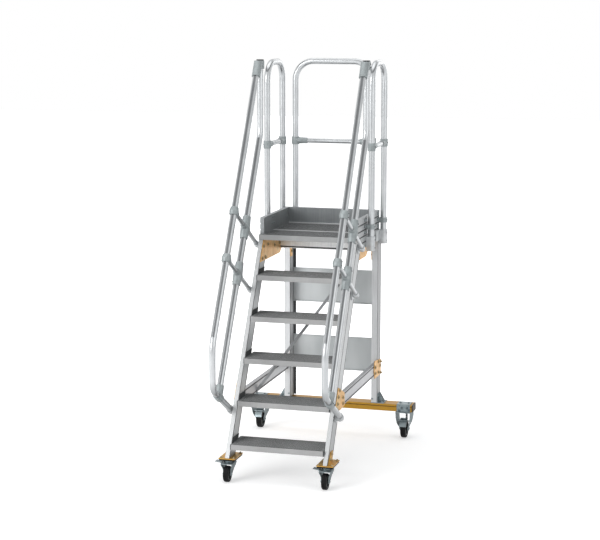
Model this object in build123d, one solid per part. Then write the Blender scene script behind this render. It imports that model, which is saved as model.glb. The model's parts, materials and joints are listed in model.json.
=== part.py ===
import os
from math import atan2, cos, degrees, radians, sin, sqrt, tan

from build123d import *

# Mobile platform stairs. Working frame, in millimetres: X across the flight, to the
# climber's right; Y from the nose of the lowest tread towards the back; Z up from the floor.

# Flight of steps
RISE = 240.0
STEP_COUNT = 6
FIRST_STEP_Z = 232.0
SLOPE_DEG = 60.0
CLEAR_WIDTH = 592.0
GOING = RISE / tan(radians(SLOPE_DEG))
PLATFORM_Z = FIRST_STEP_Z + RISE * (STEP_COUNT - 1)
PLATFORM_NOSE_Y = GOING * (STEP_COUNT - 1)
HALF_CLEAR = CLEAR_WIDTH / 2

# Clearances and cuts
SEAT_GAP = 0.3
RUN_GAP = 0.06
CUT_OVERRUN = 10.0

# Flat grooved rails: stringers, back posts, side rails and the cross beam
RAIL_THICK = 26.0
RAIL_GROOVE_WIDTH = 6.0
RAIL_GROOVE_DEPTH = 3.0
RAIL_GROOVE_INSET = 9.0
STRINGER_DEPTH = 110.0
POST_DEPTH = 101.0
SIDE_RAIL_DEPTH = 76.0
CROSS_BEAM_DEPTH = 104.0
NOSE_OVERHANG = 25.0
OUTER_X = HALF_CLEAR + RAIL_THICK

# Treads
TREAD_DEPTH = 216.0
TREAD_FRONT = 33.5
TREAD_SKIN = 3.0
TREAD_RIB_COUNT = 12
TREAD_RIB_GROOVE = 8.0
TREAD_RIB_DEPTH = 1.5
TREAD_END_PLATE = 4.0
TREAD_UPSTAND = 30.0

# Platform
SIDE_BOTTOM_Z = 1340.0
SIDE_HEIGHT = 198.0
SIDE_TOP_Z = SIDE_BOTTOM_Z + SIDE_HEIGHT
SIDE_FRONT_Y = 725.0
SIDE_BACK_Y = 1319.0
SIDE_GROOVE_COUNT = 4
SIDE_GROOVE_WIDTH = 7.0
SIDE_GROOVE_DEPTH = 3.0
DECK_SKIN = 4.0
DECK_RIB_COUNT = 24
CROSS_BEAM_Y = 1075.0

# Back frame
POST_FRONT_Y = 1274.0
POST_THICK = 38.0
BEAM_FRONT_Y = 1276.0
BEAM_DEPTH = 98.0
BEAM_BOTTOM_Z = 185.0
BEAM_TOP_Z = 232.0
POST_FOOT_REACH = 48.0
BEAM_OVERHANG = 192.0
BEAM_HALF_LENGTH = OUTER_X + POST_FOOT_REACH + BEAM_OVERHANG
BEAM_CAP = 8.0
BEAM_GROOVE_Z = 217.0
BEAM_GROOVE_WIDTH = 6.0
BEAM_GROOVE_DEPTH = 4.0
SIDE_RAIL_Z = 472.0
POST_FLANGE = 16.0
PANEL_THICK = 3.0
PANEL_LIP = 16.0
PANEL_HEIGHT = 230.0
PANEL_BOTTOMS = {"lower": 430.0, "upper": 890.0}
BRACE_WIDTH = 18.0
BRACE_THICK = 6.0
BRACE_FOOT_Y = 560.0
BRACE_FOOT_Z = 446.0
BRACE_HEAD_Y = 860.0
BRACE_HEAD_Z = 1270.0

# Guardrail of hoops
HOOP_RADIUS = 20.0
HOOP_BEND = 125.0
HOOP_TOP_Z = 2510.0
HOOP_STANDOFF = 6.0
HOOP_FRONT_Y = 973.0
HOOP_BACK_Y = 1323.0
BACK_HOOP_INSET = 59.0
BACK_HOOP_HALF = OUTER_X - BACK_HOOP_INSET
HOOP_FOOT_Z = 1318.0
MID_RAIL_DROP = 527.0
MID_RAIL_Z = HOOP_TOP_Z - MID_RAIL_DROP
MID_RAIL_RADIUS = 16.0
COUPLER_WALL = 5.0
COUPLER_HEIGHT = 50.0
COUPLER_CONE = 62.0
COUPLER_TAPER_DEG = 2.0
SOCKET_WALL = 6.0
SOCKET_BOTTOM_Z = 1315.0
SOCKET_HEIGHT = 93.0
SOCKET_PLATE = 6.0
SOCKET_REACH = 120.0
RING_WALL = 5.0
RING_HEIGHT = 32.0
RING_Z = 1455.0

# Handrails
RAIL_RADIUS = 20.0
RAIL_STANDOFF = 6.0
RAIL_X = OUTER_X + RAIL_STANDOFF + RAIL_RADIUS
KNEE_RADIUS = 20.0
HANDRAIL_OFFSET = 489.0
KNEE_OFFSET = 230.0
HANDRAIL_UPPER_BEND = 200.0
HANDRAIL_LOWER_BEND = 95.0
HANDRAIL_LOW_Y = -170.0
KNEE_TOP_Z = 2531.0
KNEE_UPRIGHT = 462.0196
HANDRAIL_DROP = 53.0
HANDRAIL_TOP_Z = KNEE_TOP_Z - HANDRAIL_DROP
KNEE_BEND = 150.0
LOWER_FOOT_Z = 401.0
STRUT_RADIUS = 13.5
STRUT_ZS = (1359.0, 1090.0)
CLAMP_WALL = 5.0
CLAMP_BULGE = 5.0
CLAMP_HUB = 28.0
CUP_WALL = 4.5
CUP_LENGTH = 30.0
CUP_FLOOR = 8.0
STRUT_SOCKET = 34.0
TEE_WALL = 6.5
TEE_LENGTH = 62.0
CLAMP_LENGTH = 50.0
KNEE_CLAMP_LENGTH = 150.0
FOOT_RADIUS = 33.0
TOP_CLAMP_HEIGHT = 53.0
TOP_CLAMP_WALL = 7.0
TOP_CAP = 6.0

# Plates
GUSSET = 6.0
JOINT_PLATE = 5.0
FRONT_GUSSET_LOW_Z = 1264.0
FRONT_GUSSET_BEND_Y = 1060.0
FRONT_GUSSET_BEND_Z = 1300.0
FRONT_GUSSET_END_Y = 1118.0
REAR_GUSSET_FRONT_Y = 1185.0
REAR_GUSSET_HEIGHT = 135.0
STRINGER_PLATE_END_Y = 384.0
STRINGER_PLATE_HIGH_Z = 574.0
STRINGER_PLATE_LOW_Z = 425.0
POST_PLATE_FRONT_Y = 1180.0
POST_PLATE_HIGH_Z = 538.0
POST_PLATE_LOW_Z = 417.0

# Front castors, which swivel
FRONT_WHEEL_RADIUS = 50.0
FRONT_WHEEL_WIDTH = 32.0
FRONT_WHEEL_OFFSET = 1.0
FRONT_WHEEL_X = HALF_CLEAR + RAIL_THICK / 2 + FRONT_WHEEL_OFFSET
FRONT_WHEEL_Y = -11.5
FRONT_TRAIL = 38.0
MOUNT_TOP_Z = 150.0
MOUNT_PLATE = 6.0
MOUNT_WIDTH = 105.0
MOUNT_DEPTH = 163.0
MOUNT_BACK_Y = 133.0
MOUNT_TAB_HEIGHT = 66.0
MOUNT_TAB_WIDTH = 45.0
PAD_THICK = 10.0
HEAD_PLATE = 4.0
HEAD_PLATE_HALF = 38.0
HEAD_RADIUS = 34.0
HEAD_HEIGHT = 13.0
HEAD_GAP = 0.6
FORK_SHEET = 3.5
FORK_SIDE_GAP = 5.5
AXLE_RADIUS = 6.0
HUB_RADIUS = 13.0
FORK_HALF = 36.0
FORK_NOSE = 24.0
FORK_SKIRT = 9.0
FORK_WAIST_Z = 75.0
RIM_RADIUS_SHARE = 0.72
PEDAL_REACH = 80.0
PEDAL_ROOT = 41.0
PEDAL_WIDTH = 38.0
PEDAL_THICK = 4.0

# Rear castors, which are fixed
REAR_WHEEL_RADIUS = 62.5
REAR_WHEEL_WIDTH = 35.0
REAR_WHEEL_INSET = 56.4
REAR_WHEEL_X = BEAM_HALF_LENGTH - REAR_WHEEL_INSET
REAR_WHEEL_Y = 1318.0
REAR_FORK_SHEET = 4.0
REAR_CROWN = 6.0
GUARD_GAP = 6.0
GUARD_SHEET = 3.0
GUARD_HALF = 24.0
GUARD_PIN = 4.0
BRACKET_WIDTH = 90.0
BRACKET_REACH = 80.0
BRACKET_SHEET = 5.0
POST_FOOT_HEIGHT = 64.0
POST_FOOT_DEPTH = 64.0

# Rear fork's legs: height, distance of the outer face from the wheel's middle plane, half of the depth
REAR_LEG_ROWS = (
    (184.7, 51.0, 57.0),
    (145.0, 50.0, 55.0),
    (105.0, 44.0, 45.0),
    (70.0, 29.5, 25.0),
    (48.0, 27.0, 12.0),
)

# The part's origin: bottom centre of its box
FRONT_EXTREME_Y = HANDRAIL_LOW_Y - RAIL_RADIUS
BACK_EXTREME_Y = max(POST_FRONT_Y + POST_DEPTH, REAR_WHEEL_Y + REAR_WHEEL_RADIUS)
ORIGIN_Y = (FRONT_EXTREME_Y + BACK_EXTREME_Y) / 2

SLOPE = radians(SLOPE_DEG)
ALONG = Vector(0, cos(SLOPE), sin(SLOPE))
INTO = Vector(0, sin(SLOPE), -cos(SLOPE))
SIDES = {"left": -1, "right": 1}


def box(x0, x1, y0, y1, z0, z1):
    """Upright block between two corners, given in any order."""
    size = (abs(x1 - x0), abs(y1 - y0), abs(z1 - z0))
    return Pos((x0 + x1) / 2, (y0 + y1) / 2, (z0 + z1) / 2) * Box(*size)


def rod(start, end, radius):
    """Straight round bar from one point to another."""
    a = Vector(*start)
    b = Vector(*end)
    run = b - a
    return extrude(Plane(origin=a, z_dir=run) * Circle(radius), run.length)


def plate_x(points, x0, x1):
    """Flat plate: an outline of (Y, Z) points, thick along X."""
    face = Plane(origin=(min(x0, x1), 0, 0), x_dir=(0, 1, 0), z_dir=(1, 0, 0)) * Polygon(*points, align=None)
    return extrude(face, abs(x1 - x0), dir=(1, 0, 0))


def plate_y(points, y0, y1):
    """Flat plate: an outline of (X, Z) points, thick along Y."""
    face = Plane(origin=(0, max(y0, y1), 0), x_dir=(1, 0, 0), z_dir=(0, -1, 0)) * Polygon(*points, align=None)
    return extrude(face, abs(y1 - y0), dir=(0, -1, 0))


def cone(start, way, length, base, top):
    """Round taper from a point along a direction."""
    return Plane(origin=start, z_dir=way) * Pos(0, 0, length / 2) * Cone(base, top, length)


def tube_run(points, bends, radius):
    """Round bar bent through the given corners."""
    path = FilletPolyline(*[Vector(*p) for p in points], radius=bends)
    start = path.location_at(0)
    section = Plane(origin=path @ 0, z_dir=path % 0) * Circle(radius)
    return sweep(section, path=path)


def front_line_y(z):
    """Y of the stringer's front edge at a height."""
    return NOSE_OVERHANG + (z - FIRST_STEP_Z) / tan(SLOPE)


def slope_point(offset, z):
    """(Y, Z) of the line that runs parallel to the stringer, this far out from its front edge."""
    return (front_line_y(z) - offset / sin(SLOPE), z)


def rail_bar(plane, length, depth, thick=RAIL_THICK):
    """Grooved flat rail: its section's thickness lies along the plane's X, its depth along Y."""
    bar = extrude(plane * Rectangle(thick, depth), length)
    for face in (-1, 1):
        for place in (-1, 1):
            centre = (face * thick / 2, place * (depth / 2 - RAIL_GROOVE_INSET))
            groove = plane * (Pos(*centre) * Rectangle(2 * RAIL_GROOVE_DEPTH, RAIL_GROOVE_WIDTH))
            bar -= extrude(groove, length)
    return bar


def rear_line_y(z):
    """Y of the stringer's rear edge at a height."""
    return front_line_y(z) + STRINGER_DEPTH / sin(SLOPE)


def deck_bottom_z():
    return PLATFORM_Z - TREAD_FRONT


def rail_x(side):
    """Middle of the rails' thickness."""
    return side * (HALF_CLEAR + RAIL_THICK / 2)


def stringer(side):
    x = rail_x(side)
    start_z = MOUNT_TOP_Z - STRINGER_DEPTH
    centre = Vector(x, front_line_y(start_z), start_z) + INTO * (STRINGER_DEPTH / 2)
    length = (PLATFORM_Z + 2 * STRINGER_DEPTH - start_z) / sin(SLOPE)
    bar = rail_bar(Plane(origin=centre, x_dir=(1, 0, 0), z_dir=ALONG), length, STRINGER_DEPTH)
    reach = RAIL_THICK
    bar -= box(x - reach, x + reach, -SIDE_BACK_Y, SIDE_BACK_Y, -STRINGER_DEPTH * 2, MOUNT_TOP_Z)
    bar -= box(x - reach, x + reach, -SIDE_BACK_Y, 2 * SIDE_BACK_Y, deck_bottom_z() - SEAT_GAP, 2 * PLATFORM_Z)
    return bar


def tread(index):
    nose_y = GOING * index
    top_z = FIRST_STEP_Z + RISE * index
    back_y = nose_y + TREAD_DEPTH
    half = HALF_CLEAR - SEAT_GAP
    body = box(-half, half, nose_y, back_y, top_z - TREAD_FRONT, top_z)
    inner = half - TREAD_END_PLATE
    body -= box(-inner, inner, nose_y + TREAD_SKIN, back_y - TREAD_SKIN,
                top_z - TREAD_FRONT - CUT_OVERRUN, top_z - TREAD_RIB_DEPTH - TREAD_SKIN)
    pitch = (TREAD_DEPTH - 2 * TREAD_RIB_GROOVE) / TREAD_RIB_COUNT
    for number in range(TREAD_RIB_COUNT):
        y = nose_y + TREAD_RIB_GROOVE + pitch * (number + 1 / 2)
        body -= box(-inner, inner, y - TREAD_RIB_GROOVE / 2, y + TREAD_RIB_GROOVE / 2,
                    top_z - TREAD_RIB_DEPTH, top_z + CUT_OVERRUN)
    for side in SIDES.values():
        front = front_line_y(top_z)
        rear = rear_line_y(top_z)
        lean = TREAD_UPSTAND / tan(SLOPE)
        outline = [(front, top_z), (rear, top_z), (rear + lean, top_z + TREAD_UPSTAND),
                   (front + lean, top_z + TREAD_UPSTAND)]
        body += plate_x(outline, side * inner, side * half)
    return body


def deck():
    back_y = SIDE_BACK_Y - RAIL_THICK - SEAT_GAP
    low = deck_bottom_z()
    half = HALF_CLEAR - SEAT_GAP
    inner = half - DECK_SKIN
    body = box(-half, half, PLATFORM_NOSE_Y, back_y, low, PLATFORM_Z)
    body += box(-OUTER_X, OUTER_X, PLATFORM_NOSE_Y, SIDE_FRONT_Y - SEAT_GAP, low, PLATFORM_Z)
    body -= box(-inner, inner, PLATFORM_NOSE_Y + DECK_SKIN, back_y - DECK_SKIN,
                low - CUT_OVERRUN, PLATFORM_Z - DECK_SKIN - TREAD_RIB_DEPTH)
    pitch = (back_y - PLATFORM_NOSE_Y) / (DECK_RIB_COUNT + 1)
    for number in range(DECK_RIB_COUNT):
        y = PLATFORM_NOSE_Y + pitch * (number + 1)
        body -= box(-inner, inner, y - TREAD_RIB_GROOVE / 2, y + TREAD_RIB_GROOVE / 2,
                    PLATFORM_Z - TREAD_RIB_DEPTH, PLATFORM_Z + CUT_OVERRUN)
    return body


def board_groove_zs():
    pitch = (SIDE_TOP_Z - SIDE_BOTTOM_Z) / (SIDE_GROOVE_COUNT + 1)
    return [SIDE_BOTTOM_Z + pitch * (number + 1) for number in range(SIDE_GROOVE_COUNT)]


def platform_side(side):
    """Upright side board, notched round the stringer's head, with level grooves outside."""
    seat_z = deck_bottom_z()
    back_y = SIDE_BACK_Y - RAIL_THICK - SEAT_GAP
    gap = SEAT_GAP / sin(SLOPE)
    outline = [(SIDE_FRONT_Y, SIDE_TOP_Z), (SIDE_FRONT_Y, seat_z), (rear_line_y(seat_z) + gap, seat_z),
               (rear_line_y(SIDE_BOTTOM_Z) + gap, SIDE_BOTTOM_Z), (back_y, SIDE_BOTTOM_Z), (back_y, SIDE_TOP_Z)]
    body = plate_x(outline, side * HALF_CLEAR, side * OUTER_X)
    for z in board_groove_zs():
        body -= box(side * (OUTER_X - SIDE_GROOVE_DEPTH), side * (OUTER_X + CUT_OVERRUN), SIDE_FRONT_Y - CUT_OVERRUN,
                    SIDE_BACK_Y, z - SIDE_GROOVE_WIDTH / 2, z + SIDE_GROOVE_WIDTH / 2)
    return body


def back_board():
    body = box(-OUTER_X, OUTER_X, SIDE_BACK_Y - RAIL_THICK, SIDE_BACK_Y, SIDE_BOTTOM_Z, SIDE_TOP_Z)
    reach = OUTER_X + CUT_OVERRUN
    for z in board_groove_zs():
        body -= box(-reach, reach, SIDE_BACK_Y - SIDE_GROOVE_DEPTH, SIDE_BACK_Y + CUT_OVERRUN,
                    z - SIDE_GROOVE_WIDTH / 2, z + SIDE_GROOVE_WIDTH / 2)
    return body


def cross_beam():
    half = HALF_CLEAR - GUSSET - SEAT_GAP
    centre_z = deck_bottom_z() - SEAT_GAP - CROSS_BEAM_DEPTH / 2
    plane = Plane(origin=(-half, CROSS_BEAM_Y + RAIL_THICK / 2, centre_z), x_dir=(0, 1, 0), z_dir=(1, 0, 0))
    return rail_bar(plane, 2 * half, CROSS_BEAM_DEPTH)


def post_foot_z():
    return BEAM_TOP_Z + BRACKET_SHEET + SEAT_GAP


def post_inner_x():
    return OUTER_X - POST_THICK


def rear_post(side):
    height = SIDE_BOTTOM_Z - SEAT_GAP - post_foot_z()
    middle = side * (OUTER_X - POST_THICK / 2)
    plane = Plane(origin=(middle, POST_FRONT_Y + POST_DEPTH / 2, post_foot_z()), x_dir=(1, 0, 0))
    post = rail_bar(plane, height, POST_DEPTH, POST_THICK)
    back = POST_FRONT_Y + POST_DEPTH
    tip = side * (post_inner_x() - POST_FLANGE)
    root = side * (post_inner_x() + RAIL_GROOVE_DEPTH)
    post += box(tip, root, back - JOINT_PLATE, back, post_foot_z(), post_foot_z() + height)
    return post


def side_rail(side):
    low = SIDE_RAIL_Z - SIDE_RAIL_DEPTH / 2
    high = SIDE_RAIL_Z + SIDE_RAIL_DEPTH / 2
    start = front_line_y(low)
    plane = Plane(origin=(rail_x(side), start, SIDE_RAIL_Z), x_dir=(1, 0, 0), z_dir=(0, 1, 0))
    bar = rail_bar(plane, POST_FRONT_Y - SEAT_GAP - start, SIDE_RAIL_DEPTH)
    low_cut = low - CUT_OVERRUN
    high_cut = high + CUT_OVERRUN
    gap = SEAT_GAP / sin(SLOPE)
    outline = [(start - CUT_OVERRUN, low_cut), (rear_line_y(low_cut) + gap, low_cut),
               (rear_line_y(high_cut) + gap, high_cut), (start - CUT_OVERRUN, high_cut)]
    bar -= plate_x(outline, rail_x(side) - RAIL_THICK, rail_x(side) + RAIL_THICK)
    return bar


def back_panel(bottom_z):
    inner = post_inner_x() - SEAT_GAP
    back = POST_FRONT_Y + POST_DEPTH - JOINT_PLATE - SEAT_GAP
    sheet = box(-inner, inner, back - PANEL_THICK, back, bottom_z, bottom_z + PANEL_HEIGHT)
    for z in (bottom_z, bottom_z + PANEL_HEIGHT - PANEL_THICK):
        sheet += box(-inner, inner, back - PANEL_LIP, back, z, z + PANEL_THICK)
    return sheet


def back_beam():
    beam = box(-BEAM_HALF_LENGTH, BEAM_HALF_LENGTH, BEAM_FRONT_Y, BEAM_FRONT_Y + BEAM_DEPTH,
               BEAM_BOTTOM_Z, BEAM_TOP_Z)
    reach = BEAM_HALF_LENGTH + CUT_OVERRUN
    for face, way in ((BEAM_FRONT_Y, -1), (BEAM_FRONT_Y + BEAM_DEPTH, 1)):
        beam -= box(-reach, reach, face - way * BEAM_GROOVE_DEPTH, face + way * CUT_OVERRUN,
                    BEAM_GROOVE_Z - BEAM_GROOVE_WIDTH / 2, BEAM_GROOVE_Z + BEAM_GROOVE_WIDTH / 2)
    return beam


def beam_caps():
    return [box(side * BEAM_HALF_LENGTH, side * (BEAM_HALF_LENGTH + BEAM_CAP), BEAM_FRONT_Y,
                BEAM_FRONT_Y + BEAM_DEPTH, BEAM_BOTTOM_Z, BEAM_TOP_Z) for side in SIDES.values()]


def cross_brace():
    """Thin flat bar from the left side rail's inner face up to the right gusset, behind the treads."""
    foot = Vector(-HALF_CLEAR, BRACE_FOOT_Y, BRACE_FOOT_Z)
    head = Vector(HALF_CLEAR - GUSSET, BRACE_HEAD_Y, BRACE_HEAD_Z)
    run = head - foot
    way = run.normalized()
    plane = Plane(origin=foot - way * BRACE_WIDTH, x_dir=run.cross(Vector(0, 1, 0)), z_dir=run)
    bar = extrude(plane * Rectangle(BRACE_WIDTH, BRACE_THICK), run.length + 2 * BRACE_WIDTH)
    room = box(-HALF_CLEAR + SEAT_GAP, HALF_CLEAR - GUSSET - SEAT_GAP, 0, SIDE_BACK_Y, 0, PLATFORM_Z)
    return bar & room


def front_gusset(side):
    high = deck_bottom_z() - SEAT_GAP
    low = FRONT_GUSSET_LOW_Z
    outline = [(front_line_y(low) + GUSSET, low), (FRONT_GUSSET_BEND_Y, low),
               (FRONT_GUSSET_END_Y, FRONT_GUSSET_BEND_Z), (FRONT_GUSSET_END_Y, high),
               (front_line_y(high) + GUSSET, high)]
    return plate_x(outline, side * (HALF_CLEAR - GUSSET), side * (HALF_CLEAR - SEAT_GAP))


def rear_gusset(side):
    high = deck_bottom_z() - SEAT_GAP
    middle = SIDE_BOTTOM_Z
    low = middle - REAR_GUSSET_HEIGHT
    neck = POST_FRONT_Y + POST_DEPTH / 2
    back = SIDE_BACK_Y - RAIL_THICK - SEAT_GAP
    outline = [(REAR_GUSSET_FRONT_Y, high), (REAR_GUSSET_FRONT_Y, middle),
               (POST_FRONT_Y, middle - REAR_GUSSET_HEIGHT / 2),
               (POST_FRONT_Y + GUSSET, low), (neck, low), (back, middle), (back, high)]
    return plate_x(outline, side * (post_inner_x() - GUSSET), side * (post_inner_x() - SEAT_GAP))


def stringer_joint_plate(side):
    low = STRINGER_PLATE_LOW_Z
    high = STRINGER_PLATE_HIGH_Z
    end = STRINGER_PLATE_END_Y
    corner = JOINT_PLATE * 2
    outline = [(front_line_y(SIDE_RAIL_Z) + corner, SIDE_RAIL_Z), (rear_line_y(low), low), (end, low + corner / 2),
               (end, SIDE_RAIL_Z + SIDE_RAIL_DEPTH / 2), (front_line_y(high) + corner, high)]
    return plate_x(outline, side * (OUTER_X + SEAT_GAP), side * (OUTER_X + JOINT_PLATE))


def post_joint_plate(side):
    low = POST_PLATE_LOW_Z
    high = POST_PLATE_HIGH_Z
    front = POST_PLATE_FRONT_Y
    back = POST_FRONT_Y + POST_DEPTH
    corner = JOINT_PLATE * 4
    outline = [(front + corner, low), (back - corner, low), (back, low + corner), (back, high - corner),
               (front + corner, high), (front, SIDE_RAIL_Z)]
    return plate_x(outline, side * (OUTER_X + SEAT_GAP), side * (OUTER_X + JOINT_PLATE))


def post_foot(side):
    """Angle bracket: a base on the beam, an upright leg on the post's outer face and two webs between them."""
    base = OUTER_X + POST_FOOT_REACH
    front = BEAM_FRONT_Y + BRACKET_SHEET
    back = front + POST_FOOT_DEPTH
    low = BEAM_TOP_Z + SEAT_GAP
    high = BEAM_TOP_Z + BRACKET_SHEET
    top = BEAM_TOP_Z + POST_FOOT_HEIGHT
    foot = box(side * post_inner_x(), side * base, BEAM_FRONT_Y, BEAM_FRONT_Y + BEAM_DEPTH, low, high)
    foot += box(side * (OUTER_X + SEAT_GAP), side * (OUTER_X + BRACKET_SHEET), front, back, low, top)
    web = [(side * (OUTER_X + BRACKET_SHEET / 2), low), (side * (base - BRACKET_SHEET), low),
           (side * (base - BRACKET_SHEET), high),
           (side * (OUTER_X + BRACKET_SHEET * 2), top), (side * (OUTER_X + BRACKET_SHEET / 2), top)]
    for y in (back - BRACKET_SHEET, (front + back) / 2):
        foot += plate_y(web, y, y + BRACKET_SHEET)
    return foot


def hoop_x():
    return OUTER_X + HOOP_STANDOFF + HOOP_RADIUS


def hoop_y():
    return SIDE_BACK_Y + HOOP_STANDOFF + HOOP_RADIUS


def side_hoop(side):
    x = side * hoop_x()
    corners = [(x, HOOP_FRONT_Y, HOOP_FOOT_Z), (x, HOOP_FRONT_Y, HOOP_TOP_Z),
               (x, HOOP_BACK_Y, HOOP_TOP_Z), (x, HOOP_BACK_Y, HOOP_FOOT_Z)]
    return tube_run(corners, HOOP_BEND, HOOP_RADIUS)


def back_hoop():
    y = hoop_y()
    foot_z = HOOP_FOOT_Z + SIDE_BOTTOM_Z - SOCKET_BOTTOM_Z
    corners = [(-BACK_HOOP_HALF, y, foot_z), (-BACK_HOOP_HALF, y, HOOP_TOP_Z),
               (BACK_HOOP_HALF, y, HOOP_TOP_Z), (BACK_HOOP_HALF, y, foot_z)]
    return tube_run(corners, HOOP_BEND, HOOP_RADIUS)


def hoop_legs():
    """Each leg: its (X, Y), the outward way of the board that carries it, and the way to its mid rail."""
    legs = []
    for side in SIDES.values():
        legs.append((side * hoop_x(), HOOP_FRONT_Y, (side, 0), (0, 1)))
        legs.append((side * hoop_x(), HOOP_BACK_Y, (side, 0), (0, -1)))
        legs.append((side * BACK_HOOP_HALF, hoop_y(), (0, 1), (-side, 0)))
    return legs


def mid_rails():
    start = HOOP_RADIUS + COUPLER_WALL + SEAT_GAP
    rails = []
    for side in SIDES.values():
        x = side * hoop_x()
        rails.append(rod((x, HOOP_FRONT_Y + start, MID_RAIL_Z), (x, HOOP_BACK_Y - start, MID_RAIL_Z),
                         MID_RAIL_RADIUS))
    rails.append(rod((-BACK_HOOP_HALF + start, hoop_y(), MID_RAIL_Z),
                     (BACK_HOOP_HALF - start, hoop_y(), MID_RAIL_Z), MID_RAIL_RADIUS))
    return rails


def coupler(x, y, way):
    """Clamp ring on a leg with a tapered socket towards the mid rail."""
    base = Pos(x, y, MID_RAIL_Z)
    body = base * Cylinder(HOOP_RADIUS + COUPLER_WALL, COUPLER_HEIGHT)
    plane = Plane(origin=(x, y, MID_RAIL_Z), z_dir=(way[0], way[1], 0))
    cone = extrude(plane * Circle(COUPLER_HEIGHT / 2 - COUPLER_WALL / 2),
                   HOOP_RADIUS + COUPLER_CONE, taper=COUPLER_TAPER_DEG)
    body += cone
    body -= base * Cylinder(HOOP_RADIUS + SEAT_GAP, COUPLER_HEIGHT + CUT_OVERRUN)
    start = Vector(x + way[0] * (HOOP_RADIUS + COUPLER_WALL), y + way[1] * (HOOP_RADIUS + COUPLER_WALL),
                   MID_RAIL_Z)
    body -= extrude(Plane(origin=start, z_dir=(way[0], way[1], 0)) * Circle(MID_RAIL_RADIUS + SEAT_GAP),
                    COUPLER_CONE + CUT_OVERRUN)
    return body


def leg_holder(x, y, out, wall, low_z, height):
    """Sleeve round a leg with a flat block that bolts to the board."""
    middle = low_z + height / 2
    round_part = HOOP_RADIUS + wall
    body = Pos(x, y, middle) * Cylinder(round_part, height)
    if out[0]:
        face = out[0] * (OUTER_X + SEAT_GAP)
        body += box(x, face, y - round_part, y + round_part, low_z, low_z + height)
        body -= box(face, face - out[0] * round_part, y - 2 * round_part, y + 2 * round_part,
                    low_z - CUT_OVERRUN, low_z + height + CUT_OVERRUN)
    else:
        face = SIDE_BACK_Y + SEAT_GAP
        body += box(x - round_part, x + round_part, face, y, low_z, low_z + height)
        body -= box(x - 2 * round_part, x + 2 * round_part, face - round_part, face,
                    low_z - CUT_OVERRUN, low_z + height + CUT_OVERRUN)
    return body


def leg_bore(x, y, low_z, height):
    return Pos(x, y, low_z + height / 2) * Cylinder(HOOP_RADIUS + SEAT_GAP, height + 2 * CUT_OVERRUN)


def leg_sockets():
    sockets = []
    for x, y, out, way in hoop_legs():
        low = SOCKET_BOTTOM_Z if out[0] else SIDE_BOTTOM_Z
        height = SOCKET_BOTTOM_Z + SOCKET_HEIGHT - low
        body = leg_holder(x, y, out, SOCKET_WALL, low, height)
        if out[0] and y > HOOP_FRONT_Y:
            face = out[0] * (OUTER_X + SEAT_GAP)
            body += box(face, face + out[0] * SOCKET_PLATE, y - SOCKET_REACH, y, SOCKET_BOTTOM_Z + SOCKET_PLATE * 4,
                        SOCKET_BOTTOM_Z + SOCKET_HEIGHT)
        sockets.append(body - leg_bore(x, y, low, height))
    return sockets


def leg_rings():
    return [leg_holder(x, y, out, RING_WALL, RING_Z, RING_HEIGHT) - leg_bore(x, y, RING_Z, RING_HEIGHT)
            for x, y, out, way in hoop_legs()]


def lower_foot():
    """(Y, Z) where the handrail's lower run meets the stringer's middle line."""
    z = LOWER_FOOT_Z
    return (front_line_y(z) + STRINGER_DEPTH / 2 / sin(SLOPE), z)


def handrail(side):
    x = side * RAIL_X
    top = slope_point(HANDRAIL_OFFSET, HANDRAIL_TOP_Z)
    bend_z = FIRST_STEP_Z + (HANDRAIL_LOW_Y + HANDRAIL_OFFSET / sin(SLOPE) - NOSE_OVERHANG) * tan(SLOPE)
    foot = lower_foot()
    low_z = foot[1] + (foot[0] - HANDRAIL_LOW_Y) / tan(SLOPE)
    corners = [(x, top[0], top[1]), (x, HANDRAIL_LOW_Y, bend_z), (x, HANDRAIL_LOW_Y, low_z), (x, foot[0], foot[1])]
    return tube_run(corners, (HANDRAIL_UPPER_BEND, HANDRAIL_LOWER_BEND), RAIL_RADIUS)


def knee_low():
    """(Y, Z) where the knee rail's axis meets the handrail's lower run."""
    foot = lower_foot()
    lower = KNEE_OFFSET + STRINGER_DEPTH / 2
    return (foot[0] - lower * sin(SLOPE), foot[1] + lower * cos(SLOPE))


def knee_bend():
    """(Y, Z) where the knee rail turns from the slope into its upright end."""
    z = KNEE_TOP_Z - KNEE_UPRIGHT
    return (front_line_y(z) - KNEE_OFFSET / sin(SLOPE), z)


def knee_rail(side):
    x = side * RAIL_X
    low = knee_low()
    start = RAIL_RADIUS + CLAMP_WALL
    bend = knee_bend()
    corners = [(x, low[0] + start * cos(SLOPE), low[1] + start * sin(SLOPE)), (x, bend[0], bend[1]),
               (x, bend[0], KNEE_TOP_Z)]
    return tube_run(corners, KNEE_BEND, KNEE_RADIUS)


def strut_line(z):
    """Strut in the side view: its foot on the stringer's middle line and its head on the handrail's axis."""
    foot = Vector(0, front_line_y(z) + STRINGER_DEPTH / 2 / sin(SLOPE), z)
    head = foot - INTO * (HANDRAIL_OFFSET + STRINGER_DEPTH / 2)
    knee = foot - INTO * (KNEE_OFFSET + STRINGER_DEPTH / 2)
    return foot, knee, head


def struts():
    bars = []
    for side in SIDES.values():
        for z in STRUT_ZS:
            foot, knee, head = strut_line(z)
            x = Vector(side * RAIL_X, 0, 0)
            a = x + foot
            b = x + knee + INTO * (KNEE_RADIUS + CLAMP_WALL + SEAT_GAP)
            c = x + knee - INTO * (KNEE_RADIUS + CLAMP_WALL + SEAT_GAP)
            d = x + head + INTO * (RAIL_RADIUS + CLAMP_WALL + SEAT_GAP)
            bars.append(rod(tuple(a), tuple(b), STRUT_RADIUS))
            bars.append(rod(tuple(c), tuple(d), STRUT_RADIUS))
    return bars


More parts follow.
